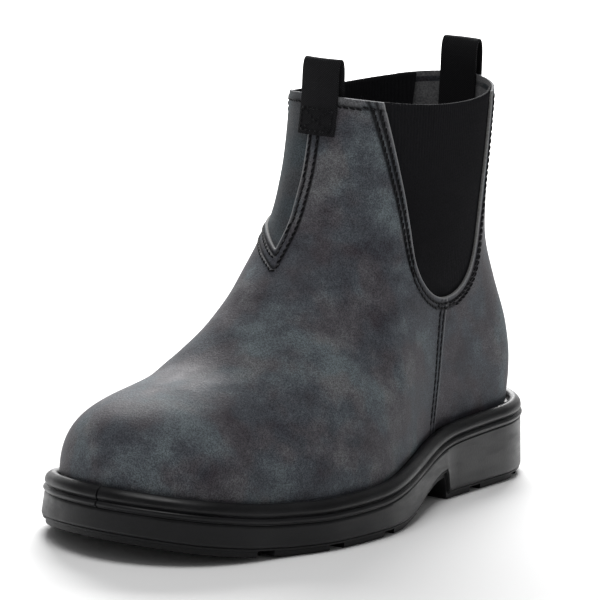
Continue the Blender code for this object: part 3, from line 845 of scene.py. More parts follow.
class Sheet:
    """A patch of the last's surface: one row of named numbers for each point, and its faces."""

    def __init__(self, data, faces):
        self.data = data
        self.faces = faces

    def get(self, name):
        return self.data[:, FIELDS.index(name)]

    def points(self):
        return self.data[:, 0:3]

    def normals(self):
        normal = self.data[:, 3:6]
        return normal / np.linalg.norm(normal, axis=1, keepdims=True)


def whole_sheet(c, levels):
    """The last's whole surface on a closed grid, with every distance that the seams need."""
    grid = np.array([ring(v, c) for v in levels])
    around = np.roll(grid, -1, axis=1) - np.roll(grid, 1, axis=1)
    up = np.gradient(grid, axis=0)
    normal = np.cross(around, up)
    normal /= np.linalg.norm(normal, axis=2, keepdims=True) + 1e-12
    rows, count = grid.shape[:2]
    share = np.tile(loop_of(c, -c), (rows, 1))
    v = np.repeat(np.asarray(levels), count).reshape(rows, count)
    x, y, z = grid[..., 0], grid[..., 1], grid[..., 2]
    collar = ring(1.0, c)[:, 2]
    fields = [
        x, y, z, normal[..., 0], normal[..., 1], normal[..., 2], share, v,
        gore_distance(x, y, z), panel_distance(grid, normal), quarter_distance(x, y, z),
        strap_distance(x, y, z), collar[None, :] - z,
    ]
    data = np.stack(fields, -1).reshape(rows * count, len(FIELDS))
    return Sheet(data, skin_faces(rows, count, False))


def face_range(value, faces):
    """Lowest and highest value over the corners of each face."""
    sizes = np.fromiter((len(face) for face in faces), int, len(faces))
    flat = np.fromiter((k for face in faces for k in face), int, int(sizes.sum()))
    starts = np.concatenate([[0], np.cumsum(sizes)[:-1]])
    return np.minimum.reduceat(value[flat], starts), np.maximum.reduceat(value[flat], starts)


def divide(data, faces, field, level, keep):
    """Cuts faces along a level of a field: the grown table of points and the faces that are kept."""
    value = data[:, FIELDS.index(field)] - level
    value[np.abs(value) < 1e-8] = 0.0
    low, high = face_range(value, faces)
    first = len(data)
    value = value.tolist()
    added, known, kept = [], {}, []

    def crossing(a, b):
        key = (a, b) if a < b else (b, a)
        if key not in known:
            a, b = key
            t = value[a] / (value[a] - value[b])
            known[key] = first + len(added)
            added.append(data[a] + t * (data[b] - data[a]))
        return known[key]

    for face, least, most in zip(faces, low.tolist(), high.tolist()):
        if least >= 0 or most <= 0:
            if keep == "both" or keep == ("high" if least >= 0 else "low"):
                kept.append(face)
            continue
        above, below = [], []
        for a, b in zip(face, face[1:] + face[:1]):
            if value[a] >= 0:
                above.append(a)
            if value[a] <= 0:
                below.append(a)
            if value[a] * value[b] < 0:
                k = crossing(a, b)
                above.append(k)
                below.append(k)
        if keep != "low" and len(above) > 2:
            kept.append(tuple(above))
        if keep != "high" and len(below) > 2:
            kept.append(tuple(below))
    return (np.vstack([data, added]) if added else data), kept


def split(sheet, field, level, keep):
    """The part of a sheet above or below a level of a named field, with only the points that it uses."""
    data, faces = divide(sheet.data, sheet.faces, field, level, keep)
    used = np.unique(np.fromiter((k for face in faces for k in face), int))
    place = np.zeros(len(data), int)
    place[used] = np.arange(len(used))
    place = place.tolist()
    return Sheet(data[used], [tuple(place[k] for k in face) for face in faces])


def score(sheet, field, levels):
    """Adds edges along several levels of a field, so that a narrow form has its own points."""
    low, high = face_range(sheet.get(field), sheet.faces)
    busy = (low < max(levels)) & (high > min(levels))
    rest = [face for face, near in zip(sheet.faces, busy) if not near]
    data, faces = sheet.data, [face for face, near in zip(sheet.faces, busy) if near]
    for level in levels:
        if faces:
            data, faces = divide(data, faces, field, level, "both")
    return Sheet(data, rest + faces)


def seam_levels(field):
    """Distances from a seam's edge at which its rows and puffs need points."""
    levels = list(EDGE_LEVELS)
    for row in ROWS[field]:
        levels += [row + k * ROW_HALF_WIDTH for k in ROW_STEPS]
    levels += [sum(ROWS[field]) / 2, max(ROWS[field]) + ROW_FADE]
    return sorted(levels)


def seam_form(distance, first, second):
    """Height of a stitched edge: pulled down at both rows, puffed between them and before the first."""
    lift = np.zeros(len(distance))
    for row in (first, second):
        lift -= ROW_DEPTH * bell(distance - row, ROW_HALF_WIDTH)
    lift += PUFF * bell(distance - (first + second) / 2, PUFF_HALF_WIDTH)
    lift += 0.5 * PUFF * bell(distance - 0.4 * first, EDGE_PUFF_HALF_WIDTH)
    lift -= EDGE_DIP * bell(distance, EDGE_DIP_HALF_WIDTH)
    return np.where(distance > -1e-6, lift, 0.0)


def crease_form(sheet):
    """Soft troughs across the instep with low swells beside them."""
    share, v = np.abs(sheet.get("c")), sheet.get("v")
    side = np.sign(sheet.get("c"))
    around = np.sqrt(share)
    lift = np.zeros(len(share))
    height, beside, spread = SWELL
    for place, lean, reach, depth, width in CREASES["rows"]:
        middle = place + lean * around * (1 + 0.25 * side)
        away = (v - middle) * FOOT_LENGTH / width
        fade = np.clip(1 - (around / reach) ** 2, 0, 1) ** 2
        trough = np.exp(-(away ** 2)) - height * np.exp(-((np.abs(away) - beside) ** 2) / spread)
        lift -= depth * trough * fade
    return lift


def shell(name, sheet, lift, thickness, seam_fields=(), sharp=50):
    """A closed piece from a sheet: outer face, inner face and a slightly rounded edge.

    Its points carry two marks for the leather's material: painted shade on the rows of stitches, and rubbed,
    on edges.
    """
    normal = sheet.normals()
    outer = sheet.points() + normal * np.reshape(lift, (-1, 1))
    inner = outer - normal * np.reshape(thickness, (-1, 1))
    count = len(outer)
    used = {}
    for f, face in enumerate(sheet.faces):
        for a, b in zip(face, face[1:] + face[:1]):
            used[(a, b)] = f
    border = [(a, b) for a, b in used if (b, a) not in used]
    outward = np.zeros_like(outer)
    for a, b in border:
        sideways = np.cross(outer[b] - outer[a], normal[a])
        sideways /= np.linalg.norm(sideways) + 1e-12
        outward[a] += sideways
        outward[b] += sideways
    rim = sorted({a for edge in border for a in edge})
    slot_of = {a: i for i, a in enumerate(rim)}
    push = outward[rim] / (np.linalg.norm(outward[rim], axis=1, keepdims=True) + 1e-12)
    depth = np.broadcast_to(np.reshape(thickness, (-1, 1)), (count, 1))[rim]
    upper, lower = [outer[rim] + push * EDGE_BULGE - normal[rim] * depth * share for share in EDGE_RINGS]
    points = np.vstack([outer, inner, upper, lower])
    faces = list(sheet.faces) + [tuple(count + k for k in face[::-1]) for face in sheet.faces]
    marks = [0] * len(faces)
    raw = np.zeros(count, bool)
    for field in seam_fields:
        raw |= np.abs(sheet.get(field)) < 1e-7
    for a, b in border:
        i, j = 2 * count + slot_of[a], 2 * count + slot_of[b]
        k, m = i + len(rim), j + len(rim)
        faces += [(b, a, i, j), (j, i, k, m), (m, k, count + a, count + b)]
        marks += [1 if raw[a] and raw[b] else 0] * 3
    made = new_mesh(name, points, faces, marks, sharp)
    # Marks stored on the points: painted shade on the stitch rows, and rubbed edges
    stitch_row_shade, rubbed = seam_marks(sheet, seam_fields)
    for label, values in (("stitch_row_shade", stitch_row_shade), ("rubbed", rubbed)):
        whole = np.concatenate([values, values, values[rim], values[rim]])
        made.data.attributes.new(label, "FLOAT", "POINT").data.foreach_set("value", whole.astype(np.float32))
    return made


def seam_marks(sheet, fields):
    """How much painted shade each point gets from a row of stitches, and how much it lies on a rubbed edge.
    """
    count = len(sheet.data)
    stitch_row_shade, rubbed = np.zeros(count), np.zeros(count)
    for field in fields:
        distance = np.abs(sheet.get(field))
        for row in ROWS[field]:
            stitch_row_shade = np.maximum(stitch_row_shade, bell(distance - row, ROW_SHADE_SPREAD * ROW_HALF_WIDTH))
        rubbed = np.maximum(rubbed, bell(distance, RUBBED_HALF_WIDTH))
    # Painted shade along the collar's row of stitches as well
    hem = HEM_SHADE * bell(sheet.get("rim") - HEM_ROW, HEM_SHADE_HALF_WIDTH)
    return np.maximum(stitch_row_shade, hem), rubbed


def seamed(sheet, field):
    return score(sheet, field, seam_levels(field))


def vamp(whole, looks):
    sheet = split(whole, "gore", 0.0, "high")
    sheet = split(sheet, "panel", 0.0, "high")
    sheet = split(sheet, "quarter", 0.0, "high")
    for field in ("panel", "gore", "quarter"):
        sheet = seamed(sheet, field)
    sheet = score(sheet, "rim", [HEM_ROW - HEM_STEP, HEM_ROW, HEM_ROW + HEM_STEP])
    lift = crease_form(sheet) + leather_form(sheet, ("panel", "gore", "quarter"))
    near = np.minimum(sheet.get("panel"), sheet.get("quarter"))
    thickness = LEATHER + (WALL - GAP - LEATHER) * ease(SEAM_LAP, 2 * SEAM_LAP, near)
    made = shell("vamp", sheet, lift, thickness, ("gore", "panel", "quarter"))
    return dress(made, looks, "upper")


def leather_form(sheet, fields):
    """Rows and puffs along the named seams: the nearest seam counts."""
    distances = np.array([sheet.get(field) for field in fields])
    rows = np.array([ROWS[field] for field in fields])[np.argmin(distances, axis=0)]
    lift = seam_form(distances.min(axis=0), rows[:, 0], rows[:, 1])
    return lift - HEM_DEPTH * bell(sheet.get("rim") - HEM_ROW, HEM_HALF_WIDTH)


def under_panel(name, whole, field, looks):
    """A panel that lies under the vamp's edge."""
    sheet = split(whole, "gore", 0.0, "high")
    sheet = split(sheet, field, SEAM_LAP, "low")
    if field == "panel":
        sheet = split(sheet, "quarter", 0.0, "high")
    sheet = seamed(sheet, "gore")
    lift = leather_form(sheet, ("gore",)) - SKIN_STEP - 0.00002
    if field == "panel":
        lift += crease_form(sheet)
    made = shell(name, sheet, lift, LEATHER, ("gore",))
    return dress(made, looks, "upper")


def strap_piece(whole, looks):
    sheet = split(whole, "strap", 0.0, "low")
    sheet = score(sheet, "strap", STRAP_LEVELS)
    groove = STRAP_ROW_DEPTH * bell(-sheet.get("strap") - STRAP_ROW, STRAP_ROW_HALF_WIDTH)
    lift = GAP - SKIN_STEP + BACK_STRAP_THICKNESS - groove
    made = shell("back_strap_leather", sheet, lift, BACK_STRAP_THICKNESS - 0.0004, ("strap",))
    return dress(made, looks, "back_strap")


def lining(look):
    whole = whole_sheet(stations(LINING_AROUND), np.linspace(BELOW_FEATHER, 1.0, LINING_UP))
    sheet = split(whole, "gore", 0.0, "high")
    made = shell("lining", sheet, np.full(len(sheet.data), -WALL + GAP), GAP)
    return dress(made, [look])


def gore_piece(name, side, look):
    """Ribbed elastic behind its hole."""
    c = np.concatenate([[0.0], np.linspace(*GORE_AROUND), [1.0]])
    whole = whole_sheet(c, np.linspace(*GORE_UP))
    sheet = split(whole, "gore", GORE_LAP, "low")
    sheet = split(sheet, "c", 0.001 * side, "high" if side > 0 else "low")
    lift = -WALL - GAP + RIB_DEPTH * (np.cos(sheet.get("y") * 2 * math.pi / RIB_PITCH) - 1)
    made = shell(name, sheet, lift, GORE_THICKNESS - 0.0005, (), 70)
    return dress(made, [look], "gore_lateral" if side > 0 else "gore_medial")


def level_route(sheet, field, level, keep):
    """The lines on a sheet along which a field has one value, as ordered chains of points."""
    value = sheet.get(field) - level
    low, high = face_range(value, sheet.faces)
    crossed = [face for face, least, most in zip(sheet.faces, low, high) if least < 0 <= most]
    links, places = {}, {}
    for face in crossed:
        ends = []
        for a, b in zip(face, face[1:] + face[:1]):
            if (value[a] < 0) != (value[b] < 0):
                key = (a, b) if a < b else (b, a)
                t = value[key[0]] / (value[key[0]] - value[key[1]])
                places[key] = sheet.data[key[0]] + t * (sheet.data[key[1]] - sheet.data[key[0]])
                ends.append(key)
        if len(ends) == 2 and keep(places[ends[0]]) and keep(places[ends[1]]):
            links.setdefault(ends[0], []).append(ends[1])
            links.setdefault(ends[1], []).append(ends[0])
    return chains(links, {key: row[0:3] for key, row in places.items()})


def chains(links, places):
    """Ordered chains from a table of neighbours."""
    seen, routes = set(), []
    starts = sorted((key for key in links if len(links[key]) == 1)) + sorted(links)
    for start in starts:
        if start in seen:
            continue
        route, here = [], start
        while here is not None:
            seen.add(here)
            route.append(places[here])
            free = [key for key in links[here] if key not in seen]
            here = free[0] if free else None
        if len(route) > 3:
            routes.append(np.array(route))
    return routes


def even_route(route, pitch):
    """A route resampled at an even pitch, with the direction at each point."""
    for _ in range(3):
        route[1:-1] = (route[:-2] + 2 * route[1:-1] + route[2:]) / 4
    run = np.concatenate([[0], np.cumsum(np.linalg.norm(np.diff(route, axis=0), axis=1))])
    count = max(int(run[-1] / pitch), 1)
    at = (np.arange(count) + 0.5) * run[-1] / count
    ahead, behind = np.minimum(at + pitch / 3, run[-1]), np.maximum(at - pitch / 3, 0)

    def read_route(place):
        return np.column_stack([np.interp(place, run, route[:, k]) for k in range(3)])

    way = read_route(ahead) - read_route(behind)
    return read_route(at), way / (np.linalg.norm(way, axis=1, keepdims=True) + 1e-12)


# Unit stitch with pointed sunk ends: place along it, thickness, and height of its middle
STITCH_RINGS = [
    (-0.5, 0.35, -0.45),
    (-0.38, 0.85, -0.12),
    (0.0, 1.0, 0.02),
    (0.38, 0.85, -0.12),
    (0.5, 0.35, -0.45),
]


def stitches(name, routes, trees, look, pitch=STITCH_PITCH, length=STITCH_LENGTH):
    """One piece of thread for each stitch along the routes, laid on the nearest leather."""
    points, faces = [], []
    sides = 8
    for route in routes:
        middle, way = even_route(route.copy(), pitch)
        for where, direction in zip(middle, way):
            hit, normal = nearest(trees, where)
            if hit is None:
                continue
            across = np.cross(direction, normal)
            across /= np.linalg.norm(across) + 1e-12
            direction, across = direction + STITCH_LEAN * across, across - STITCH_LEAN * direction
            first = len(points)
            for along, width, height in STITCH_RINGS:
                above = STITCH_RISE + height * STITCH_THICKNESS
                centre = hit + direction * along * length + normal * above
                for k in range(sides):
                    angle = 2 * math.pi * k / sides
                    reach = STITCH_THICKNESS / 2 * width
                    round_it = across * math.cos(angle) + normal * math.sin(angle)
                    points.append(centre + reach * round_it)
            tube = skin_faces(len(STITCH_RINGS), sides, False)
            faces += [tuple(first + k for k in face) for face in tube]
            last = first + (len(STITCH_RINGS) - 1) * sides
            faces.append(tuple(range(first, first + sides))[::-1])
            faces.append(tuple(range(last, last + sides)))
    made = new_mesh(name, points, faces, None, 80)
    return dress(made, [look])


def tree_of(obj):
    """A search tree of a piece, in the last's own coordinates."""
    mesh = obj.data
    corners = [Vector(v.co) + Vector(CENTRE) for v in mesh.vertices]
    return BVHTree.FromPolygons(corners, [tuple(p.vertices) for p in mesh.polygons])


def nearest(trees, where):
    """The nearest outer point on any of the trees, found from outside the boot."""
    best = (None, None)
    least = STITCH_SEARCH
    axis = Vector((0.0, max(min(where[1], CORE_Y[1]), CORE_Y[0]), where[2]))
    outward = (Vector(where) - axis).normalized()
    start = Vector(where) + outward * STITCH_START
    for tree in trees:
        hit, normal, _, distance = tree.find_nearest(start, STITCH_SEARCH)
        if hit is not None and distance < least:
            least = distance
            turned = normal if normal.dot(outward) > 0 else -normal
            best = (np.array(hit), np.array(turned))
    return best


def midsole_piece(look):
    """The moulded body with its bead, groove, rib and flaring wall."""
    c = tip_stations()
    share = loop_of(c, c)
    feather, tread = feather_height(share), tread_height(share)
    out, down = column(SOLE_SIDE, "out") * SOLE_FLARE, column(SOLE_SIDE, "down") * BEAD_HEIGHT
    run = np.concatenate([[0], np.cumsum(np.hypot(np.diff(out), np.diff(down)))])
    fine = np.linspace(0, run[-1], 44)
    fine_out, fine_down = smooth(run, out, fine), smooth(run, down, fine)
    loops = [np.column_stack([feather_plan(out[0], c), feather - TUCK_DEPTH - GAP])]
    nick = nick_shape(c)
    for o, d in zip(fine_out, fine_down):
        sunk = NICK_DEPTH * nick * ease(*NICK_START, o) * (1 - ease(*NICK_END, d))
        loops.append(plan_loop(o - sunk, feather - d, c))
    floor = tread + OUTSOLE_THICKNESS
    top = feather - fine_down[-1]
    for t in (0.12, 0.3, 0.5, 0.7, 0.86, 0.95):
        flare = out[-1] + (SOLE_FLARE - out[-1]) * t
        loops.append(plan_loop(flare, top + (floor + SOLE_EDGE_HEIGHT - top) * t, c))
    loops.append(plan_loop(SOLE_FLARE, floor + SOLE_EDGE_HEIGHT, c))
    loops.append(plan_loop(SOLE_FLARE - 0.0001, floor + 0.0004, c))
    loops.append(plan_loop(SOLE_FLARE - SOLE_FOOT_INSET, floor, c))
    made = stack("midsole_moulded", loops)
    return dress(made, [look], "midsole")


def tip_stations():
    """Stations with more of them at the tip of the toe, where the mould's parting line needs points."""
    wide = foot_half_width(np.array([1e-4]), 1)[0]
    places = [1e-4 * (x / wide) ** 2 for x in np.arange(1, 8) * NICK_WIDTH / 6]
    even = stations(AROUND)
    return np.concatenate([[0.0], places, even[even > places[-1] * 1.3]])


def nick_shape(c):
    """A narrow dip at the toe's tip, where the mould parts."""
    plan = feather_plan(0.0, c)
    away = np.abs(plan[:, 0] - plan[0, 0]) / (NICK_WIDTH / 2)
    return np.where(plan[:, 1] < FOOT_LENGTH / 10, np.clip(1 - away, 0, 1), 0.0)


def plan_loop(out, heights, c):
    return np.column_stack([feather_plan(np.reshape(out, (-1, 1)), c), heights])


def stack(name, loops, sharp=40):
    """A closed solid from loops laid one under another, capped straight across at both ends."""
    around = len(loops[0])
    faces = skin_faces(len(loops), around, False)
    faces += cap_faces(0, around) + cap_faces((len(loops) - 1) * around, around)
    made = new_mesh(name, np.concatenate(loops), faces, None, sharp)
    turn_outward(made)
    return made


def turn_outward(obj):
    work = bmesh.new()
    work.from_mesh(obj.data)
    bmesh.ops.recalc_face_normals(work, faces=work.faces)
    work.to_mesh(obj.data)
    work.free()


def cap_faces(first, around):
    """A ladder of faces straight across a loop that runs toe to heel and back."""
    faces = []
    for i in range(around // 2):
        corners = [i, i + 1, (around - i - 1) % around, (around - i) % around]
        faces.append(tuple(first + k for k in dict.fromkeys(corners)))
    return faces


def strip(rows, depth):
    """A cutter along the tread: rows of station, left x and right x, cut up to depth above the tread."""
    points = []
    for station, left, right in rows:
        y = station * FOOT_LENGTH
        top = float(tread_height(station)) + depth
        points += [(left, y, BELOW), (right, y, BELOW), (right, y, top), (left, y, top)]
    count = len(rows)
    faces = [(0, 1, 2, 3), tuple(4 * count - 4 + k for k in range(4))]
    for r in range(count - 1):
        for k in range(4):
            n = (k + 1) % 4
            faces.append((4 * r + k, 4 * r + n, 4 * r + 4 + n, 4 * r + 4 + k))
    return points, faces


def cut(obj, pieces):
    """Cuts all the pieces out of an object and removes the cutter."""
    points, faces = [], []
    for piece_points, piece_faces in pieces:
        faces += [tuple(len(points) + k for k in face) for face in piece_faces]
        points += piece_points
    tool = new_mesh("cutter", points, faces)
    turn_outward(tool)
    step = obj.modifiers.new("cut", "BOOLEAN")
    step.operation = "DIFFERENCE"
    step.object = tool
    step.solver = "EXACT"
    bpy.context.view_layer.update()
    shaped = bpy.data.meshes.new_from_object(obj.evaluated_get(bpy.context.evaluated_depsgraph_get()))
    obj.modifiers.remove(step)
    obj.data = shaped
    bpy.data.objects.remove(tool, do_unlink=True)


def tread_span(length):
    """Middles of the side notches of one stretch of tread, as stations."""
    first, last = length
    count = round((last - first) * FOOT_LENGTH / LUG_PITCH)
    return [first + (k + 0.5) * (last - first) / count for k in range(count)]


def outsole_piece(look):
    """The tread: a thin plate with lugs, notched along its sides."""
    c = stations(AROUND)
    share = loop_of(c, c)
    bottom = tread_height(share)
    edge = SOLE_FLARE - SOLE_FOOT_INSET
    lug = SOLE_FLARE - SOLE_EDGE_HEIGHT - OUTSOLE_INSET
    rows = [
        (edge, OUTSOLE_THICKNESS), (edge + 0.0002, OUTSOLE_THICKNESS - 0.0004),
        (edge, LUG_HEIGHT + 0.0002), (lug + 0.0004, LUG_HEIGHT), (lug, LUG_HEIGHT - 0.0005),
        (lug, 0.0005), (lug - 0.0005, 0.0),
    ]
    made = stack("outsole_tread", [plan_loop(o, bottom + h, c) for o, h in rows])
    half = NOTCH_WIDTH / 2 / FOOT_LENGTH
    bar = GROOVE_WIDTH / 2 / FOOT_LENGTH
    reach = (CENTRE_LUG_WIDTH + GROOVE_WIDTH) / 2
    notches, middles, grooves = [], [], []
    for span in (FORE_TREAD, HEEL_TREAD):
        for station in tread_span(span):
            for side in (1, -1):
                edge_x = abs(float(side_x(station * FOOT_LENGTH, float(feather_height(station)), side)))
                left, right = sorted((side * max(edge_x - NOTCH_REACH, reach), side * BALL_WIDTH))
                ends = (station - half, station + half)
                notches.append(strip([(s, left, right) for s in ends], LUG_HEIGHT))
            between = station + LUG_PITCH / 2 / FOOT_LENGTH
            if between + bar < span[1]:
                ends = (between - bar, between + bar)
                middles.append(strip([(s, -reach, reach) for s in ends], LUG_HEIGHT))
        for side in (1, -1):
            places = np.linspace(span[0] + GROOVE_MARGINS[0], span[1] - GROOVE_MARGINS[1], 9)
            x = side * reach
            left, right = x - GROOVE_WIDTH / 2, x + GROOVE_WIDTH / 2
            grooves.append(strip([(s, left, right) for s in places], LUG_HEIGHT))
    for pieces in (notches, middles, grooves):
        cut(made, pieces)
    made.data.shade_smooth()
    made.data.set_sharp_from_angle(angle=math.radians(35))
    return dress(made, [look], "outsole")


def insole_piece(look):
    c = stations(AROUND)
    share = loop_of(c, c)
    out = -WALL - TUCK_INSET - GAP
    low = feather_height(share) - TUCK_DEPTH
    top = low + INSOLE_THICKNESS
    rows = [(out, 0.0), (out, 0.7), (out - 0.0004, 0.9), (out - 0.0014, 1.0)]
    made = stack("insole_footbed", [plan_loop(o, low + (top - low) * t, c) for o, t in rows])
    return dress(made, [look], "insole")


def end_y(x, z, end):
    """Length at which the last is x wide to one side at height z, at its back (end 1) or front (end -1)."""
    z = min(z, COLLAR_HEIGHT)
    front, back = np.interp(z, RIDGE_Z, RIDGE_Y), np.interp(z, BACK_Z, BACK_Y)
    y = np.linspace(front, back, 400)[:200] if end < 0 else np.linspace(back, front, 400)[:200]
    return float(np.interp(abs(x), side_x(y, np.full(200, z), 1), y))


def loop_path(outer_gap, inner_gap):
    """Middle of the webbing as distance out from the leather and height, outer leg, arch and inner leg."""
    outer = outer_gap + LOOP_THICKNESS / 2
    inner = -inner_gap - LOOP_THICKNESS / 2
    middle, reach = (outer + inner) / 2, (outer - inner) / 2
    arch = LOOP_RISE - LOOP_THICKNESS / 2
    legs = [COLLAR_HEIGHT - LOOP_LEG * (1 - k / 8) for k in range(9)]
    path = [(outer, z) for z in legs]
    for k in range(1, 24):
        angle = math.pi * k / 24
        belly = 1 + 0.5 * math.sin(angle) ** 2
        path.append((middle + reach * belly * math.cos(angle), COLLAR_HEIGHT + arch * math.sin(angle) ** 0.8))
    return path + [(inner, z) for z in legs[::-1]]


def pull_loop(name, end, node, look):
    """A webbing loop over the collar, one leg outside and one inside, with thick woven edges."""
    cover = BACK_STRAP_THICKNESS + GAP - SKIN_STEP if end > 0 else 0.0
    path = np.array(loop_path(cover + GAP, WALL + 2 * GAP))
    along = np.gradient(path, axis=0)
    normal = np.stack([along[:, 1], -along[:, 0]], 1) / np.linalg.norm(along, axis=1, keepdims=True)
    across = np.concatenate([[-1.0, -0.985], np.linspace(-0.94, 0.94, 25), [0.985, 1.0]])
    points = []
    for share in across:
        x = share * LOOP_WIDTH / 2
        thick = LOOP_THICKNESS / 2 * (0.35 if abs(share) == 1.0 else 0.8 if abs(share) > 0.95 else 1.0)
        rest = [end_y(x, z, end) for z in path[:, 1]]
        rim = np.concatenate([path + normal * thick, (path - normal * thick)[::-1]])
        points += [(x, y + end * out, z) for y, (out, z) in zip(rest + rest[::-1], rim)]
    count = len(rim)
    faces = skin_faces(len(across), count, False)
    for first in (0, (len(across) - 1) * count):
        last = first + count - 1
        faces += [(first + i, first + i + 1, last - i - 1, last - i) for i in range(count // 2 - 1)]
    made = new_mesh(name, points, faces)
    turn_outward(made)
    return dress(made, [look], node)


def box_routes(end):
    """Stitching that holds the outer leg of a pull loop: a box with a cross."""
    low, high = COLLAR_HEIGHT - LOOP_LEG + LOOP_STITCH_INSET, COLLAR_HEIGHT - LOOP_STITCH_TOP
    half = LOOP_WIDTH / 2 - LOOP_STITCH_INSET
    corners = [(-half, low), (half, low), (half, high), (-half, high)]
    lines = list(zip(corners, corners[1:] + corners[:1]))
    lines += [(corners[0], corners[2]), (corners[1], corners[3])]
    routes = []
    for (xa, za), (xb, zb) in lines:
        steps = np.linspace(0, 1, 12)
        x, z = xa + (xb - xa) * steps, za + (zb - za) * steps
        routes.append(np.array([(a, end_y(a, b, end) + end * LOOP_THICKNESS, b) for a, b in zip(x, z)]))
    return routes


def sew(whole, trees, thread):
    """All rows of stitches on the leather."""
    for name, field, side in (
        ("stitches_panel", "panel", 0),
        ("stitches_gore_lateral", "gore", 1),
        ("stitches_gore_medial", "gore", -1),
        ("stitches_side_lateral", "quarter", 1),
        ("stitches_side_medial", "quarter", -1),
    ):
        routes = []
        for row in ROWS[field]:
            routes += level_route(whole, field, row, seam_limits(field, side))
        stitches(name, routes, trees, thread)
    hem = level_route(whole, "rim", HEM_ROW, lambda p: p[GORE_FIELD] > ROW_FOOT)
    stitches("stitches_collar", hem, trees, thread)


def seam_limits(field, side):
    """Which part of a seam's line carries stitches."""
    clear = ROWS["gore"][1] + ROW_CLEARANCE
    roof = COLLAR_HEIGHT - ROW_TOP

    def keep(p):
        if field == "gore":
            return p[0] * side > 0 and p[2] < roof
        if field == "panel":
            ahead = p[1] < GORE_FOOT_PLACE * FOOT_LENGTH
            return ahead and p[GORE_FIELD] > clear and p[2] < roof
        low = float(feather_height(p[1] / FOOT_LENGTH)) + ROW_FOOT
        return p[0] * side > 0 and p[GORE_FIELD] > clear and low < p[2] < GORE_FOOT_HEIGHT

    return keep


def strap_routes(whole):
    roof = COLLAR_HEIGHT - LOOP_LEG - LOOP_STITCH_INSET
    return level_route(whole, "strap", -STRAP_ROW, lambda p: p[2] < roof)


def stage_set():
    """A plain pale floor that curves up far behind the boot."""
    depth, wide, high, bend = 9.0, 9.0, 6.0, 3.0
    profile_points = [(-5.0, 0.0), (depth - bend, 0.0)]
    for k in range(1, 13):
        angle = math.pi / 2 * k / 12
        profile_points.append((depth - bend + bend * math.sin(angle), bend - bend * math.cos(angle)))
    profile_points.append((depth, high))
    mesh = bpy.data.meshes.new("floor")
    points = [(x, y, z) for x in (-wide, wide) for y, z in profile_points]
    count = len(profile_points)
    mesh.from_pydata(points, [], [(i, i + 1, count + i + 1, count + i) for i in range(count - 1)])
    mesh.shade_smooth()
    floor = bpy.data.objects.new("floor", mesh)
    floor.rotation_euler = (0.0, 0.0, math.radians(VIEW_AZIMUTH))
    bpy.context.scene.collection.objects.link(floor)
    look = Look("pale floor", 0.9)
    socket(look.shader, "Base Color", (0.93, 0.93, 0.93, 1.0))
    socket(look.shader, "Specular IOR Level", 0.0)
    mesh.materials.append(look.made)


def softbox(name, place, size, power, aim=(0.0, 0.0, 0.08)):
    lamp = bpy.data.lights.new(name, "AREA")
    lamp.shape = "RECTANGLE"
    lamp.size, lamp.size_y = size
    lamp.energy = power
    obj = bpy.data.objects.new(name, lamp)
    obj.location = place
    obj.rotation_euler = (Vector(aim) - Vector(place)).to_track_quat("-Z", "Y").to_euler()
    bpy.context.scene.collection.objects.link(obj)


def turned(angle, distance, height):
    """A place given by its angle round the boot from the camera's side, its distance and its height."""
    a = math.radians(VIEW_AZIMUTH + angle)
    return (distance * math.sin(a), -distance * math.cos(a), height)


def lights():
    world = bpy.data.worlds.new("studio")
    bpy.context.scene.world = world
    world.use_nodes = True
    world.node_tree.nodes["Background"].inputs["Color"].default_value = (1.0, 1.0, 1.0, 1.0)
    world.node_tree.nodes["Background"].inputs["Strength"].default_value = 0.20
    softbox("top softbox", turned(180, 1.75, 1.35), (1.2, 0.8), 72)
    softbox("overhead softbox", turned(-15, 0.40, 1.75), (1.1, 0.9), 15)
    softbox("backdrop wash", turned(180, 3.5, 2.6), (4.0, 2.0), 420, turned(180, 8.0, 0.6))
    bpy.context.scene.view_settings.view_transform = "Standard"


VIEW_AZIMUTH = 34.8
VIEW_ELEVATION = 10.5
VIEW_ROLL = 2.07
VIEW_DISTANCE = 2.07
VIEW_SCALE = 2200.0
VIEW_TARGET = (0.002, -0.012, 0.098)
PICTURE = 600


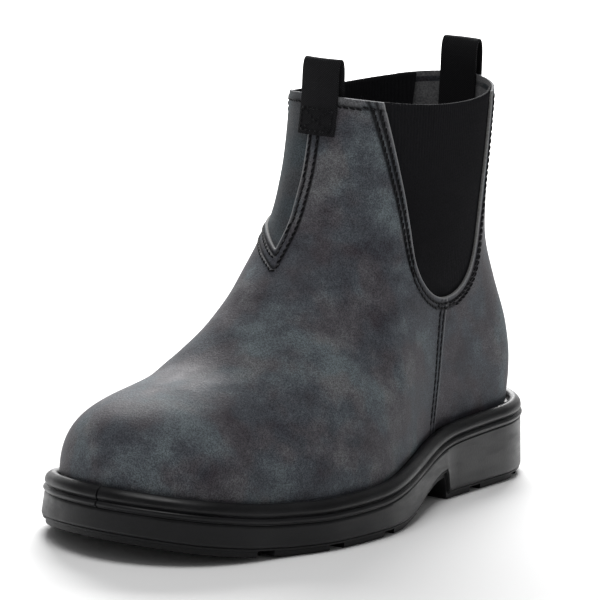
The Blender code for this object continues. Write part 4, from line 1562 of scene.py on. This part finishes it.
def camera():
    """The photograph's angle, with the whole boot in the frame."""
    az, el, roll = (math.radians(a) for a in (VIEW_AZIMUTH, VIEW_ELEVATION, VIEW_ROLL))
    back = Vector((math.sin(az) * math.cos(el), -math.cos(az) * math.cos(el), math.sin(el)))
    right = Vector((math.cos(az), math.sin(az), 0.0))
    up = back.cross(right)
    side = right * math.cos(roll) + up * math.sin(roll)
    top = up * math.cos(roll) - right * math.sin(roll)
    data = bpy.data.cameras.new("camera")
    data.sensor_width = 36.0
    data.lens = data.sensor_width * VIEW_SCALE * VIEW_DISTANCE / PICTURE
    data.clip_start = 0.05
    data.clip_end = 30.0
    obj = bpy.data.objects.new("camera", data)
    turn = Matrix((side, top, back)).transposed()
    obj.matrix_world = Matrix.Translation(Vector(VIEW_TARGET) + back * VIEW_DISTANCE) @ turn.to_4x4()
    bpy.context.scene.collection.objects.link(obj)
    bpy.context.scene.camera = obj


def main():
    camera()
    stage_set()
    lights()
    nubuck = nubuck_look("charcoal nubuck", NUBUCK_TONES, 0.0, 1.1)
    panel_leather = nubuck_look("smoother nubuck", PANEL_TONES, 1.3, 0.8)
    raw = raw_edge_look()
    thread = thread_look()
    elastic = elastic_look()
    webbing = webbing_look()
    lining_cloth = cloth_look("grey lining", (0.06, 0.06, 0.064), (0.15, 0.15, 0.155))
    footbed = cloth_look("grey insole cloth", (0.08, 0.08, 0.084), (0.18, 0.18, 0.185))
    whole = whole_sheet(stations(AROUND), np.linspace(BELOW_FEATHER, 1.0, UP))
    front = vamp(whole, [nubuck, raw])
    inner_panel = under_panel("inner_front_panel", whole, "panel", [panel_leather, raw])
    quarters = under_panel("quarters", whole, "quarter", [nubuck, raw])
    strap = strap_piece(whole, [nubuck, raw])
    lining(lining_cloth)
    gore_piece("gore_lateral_elastic", 1, elastic)
    gore_piece("gore_medial_elastic", -1, elastic)
    trees = [tree_of(obj) for obj in (front, inner_panel, quarters)]
    sew(whole, trees, thread)
    stitches("stitches_strap", strap_routes(whole), [tree_of(strap)], thread)
    back_loop = pull_loop("pull_loop_back_webbing", 1, "pull_loop_back", webbing)
    front_loop = pull_loop("pull_loop_front_webbing", -1, "pull_loop_front", webbing)
    loop_thread = (LOOP_STITCH_PITCH, LOOP_STITCH_LENGTH)
    stitches("stitches_loop_back", box_routes(1), [tree_of(back_loop)], thread, *loop_thread)
    stitches("stitches_loop_front", box_routes(-1), [tree_of(front_loop)], thread, *loop_thread)
    midsole_piece(compound_look())
    outsole_piece(tread_look())
    insole_piece(footbed)


main()
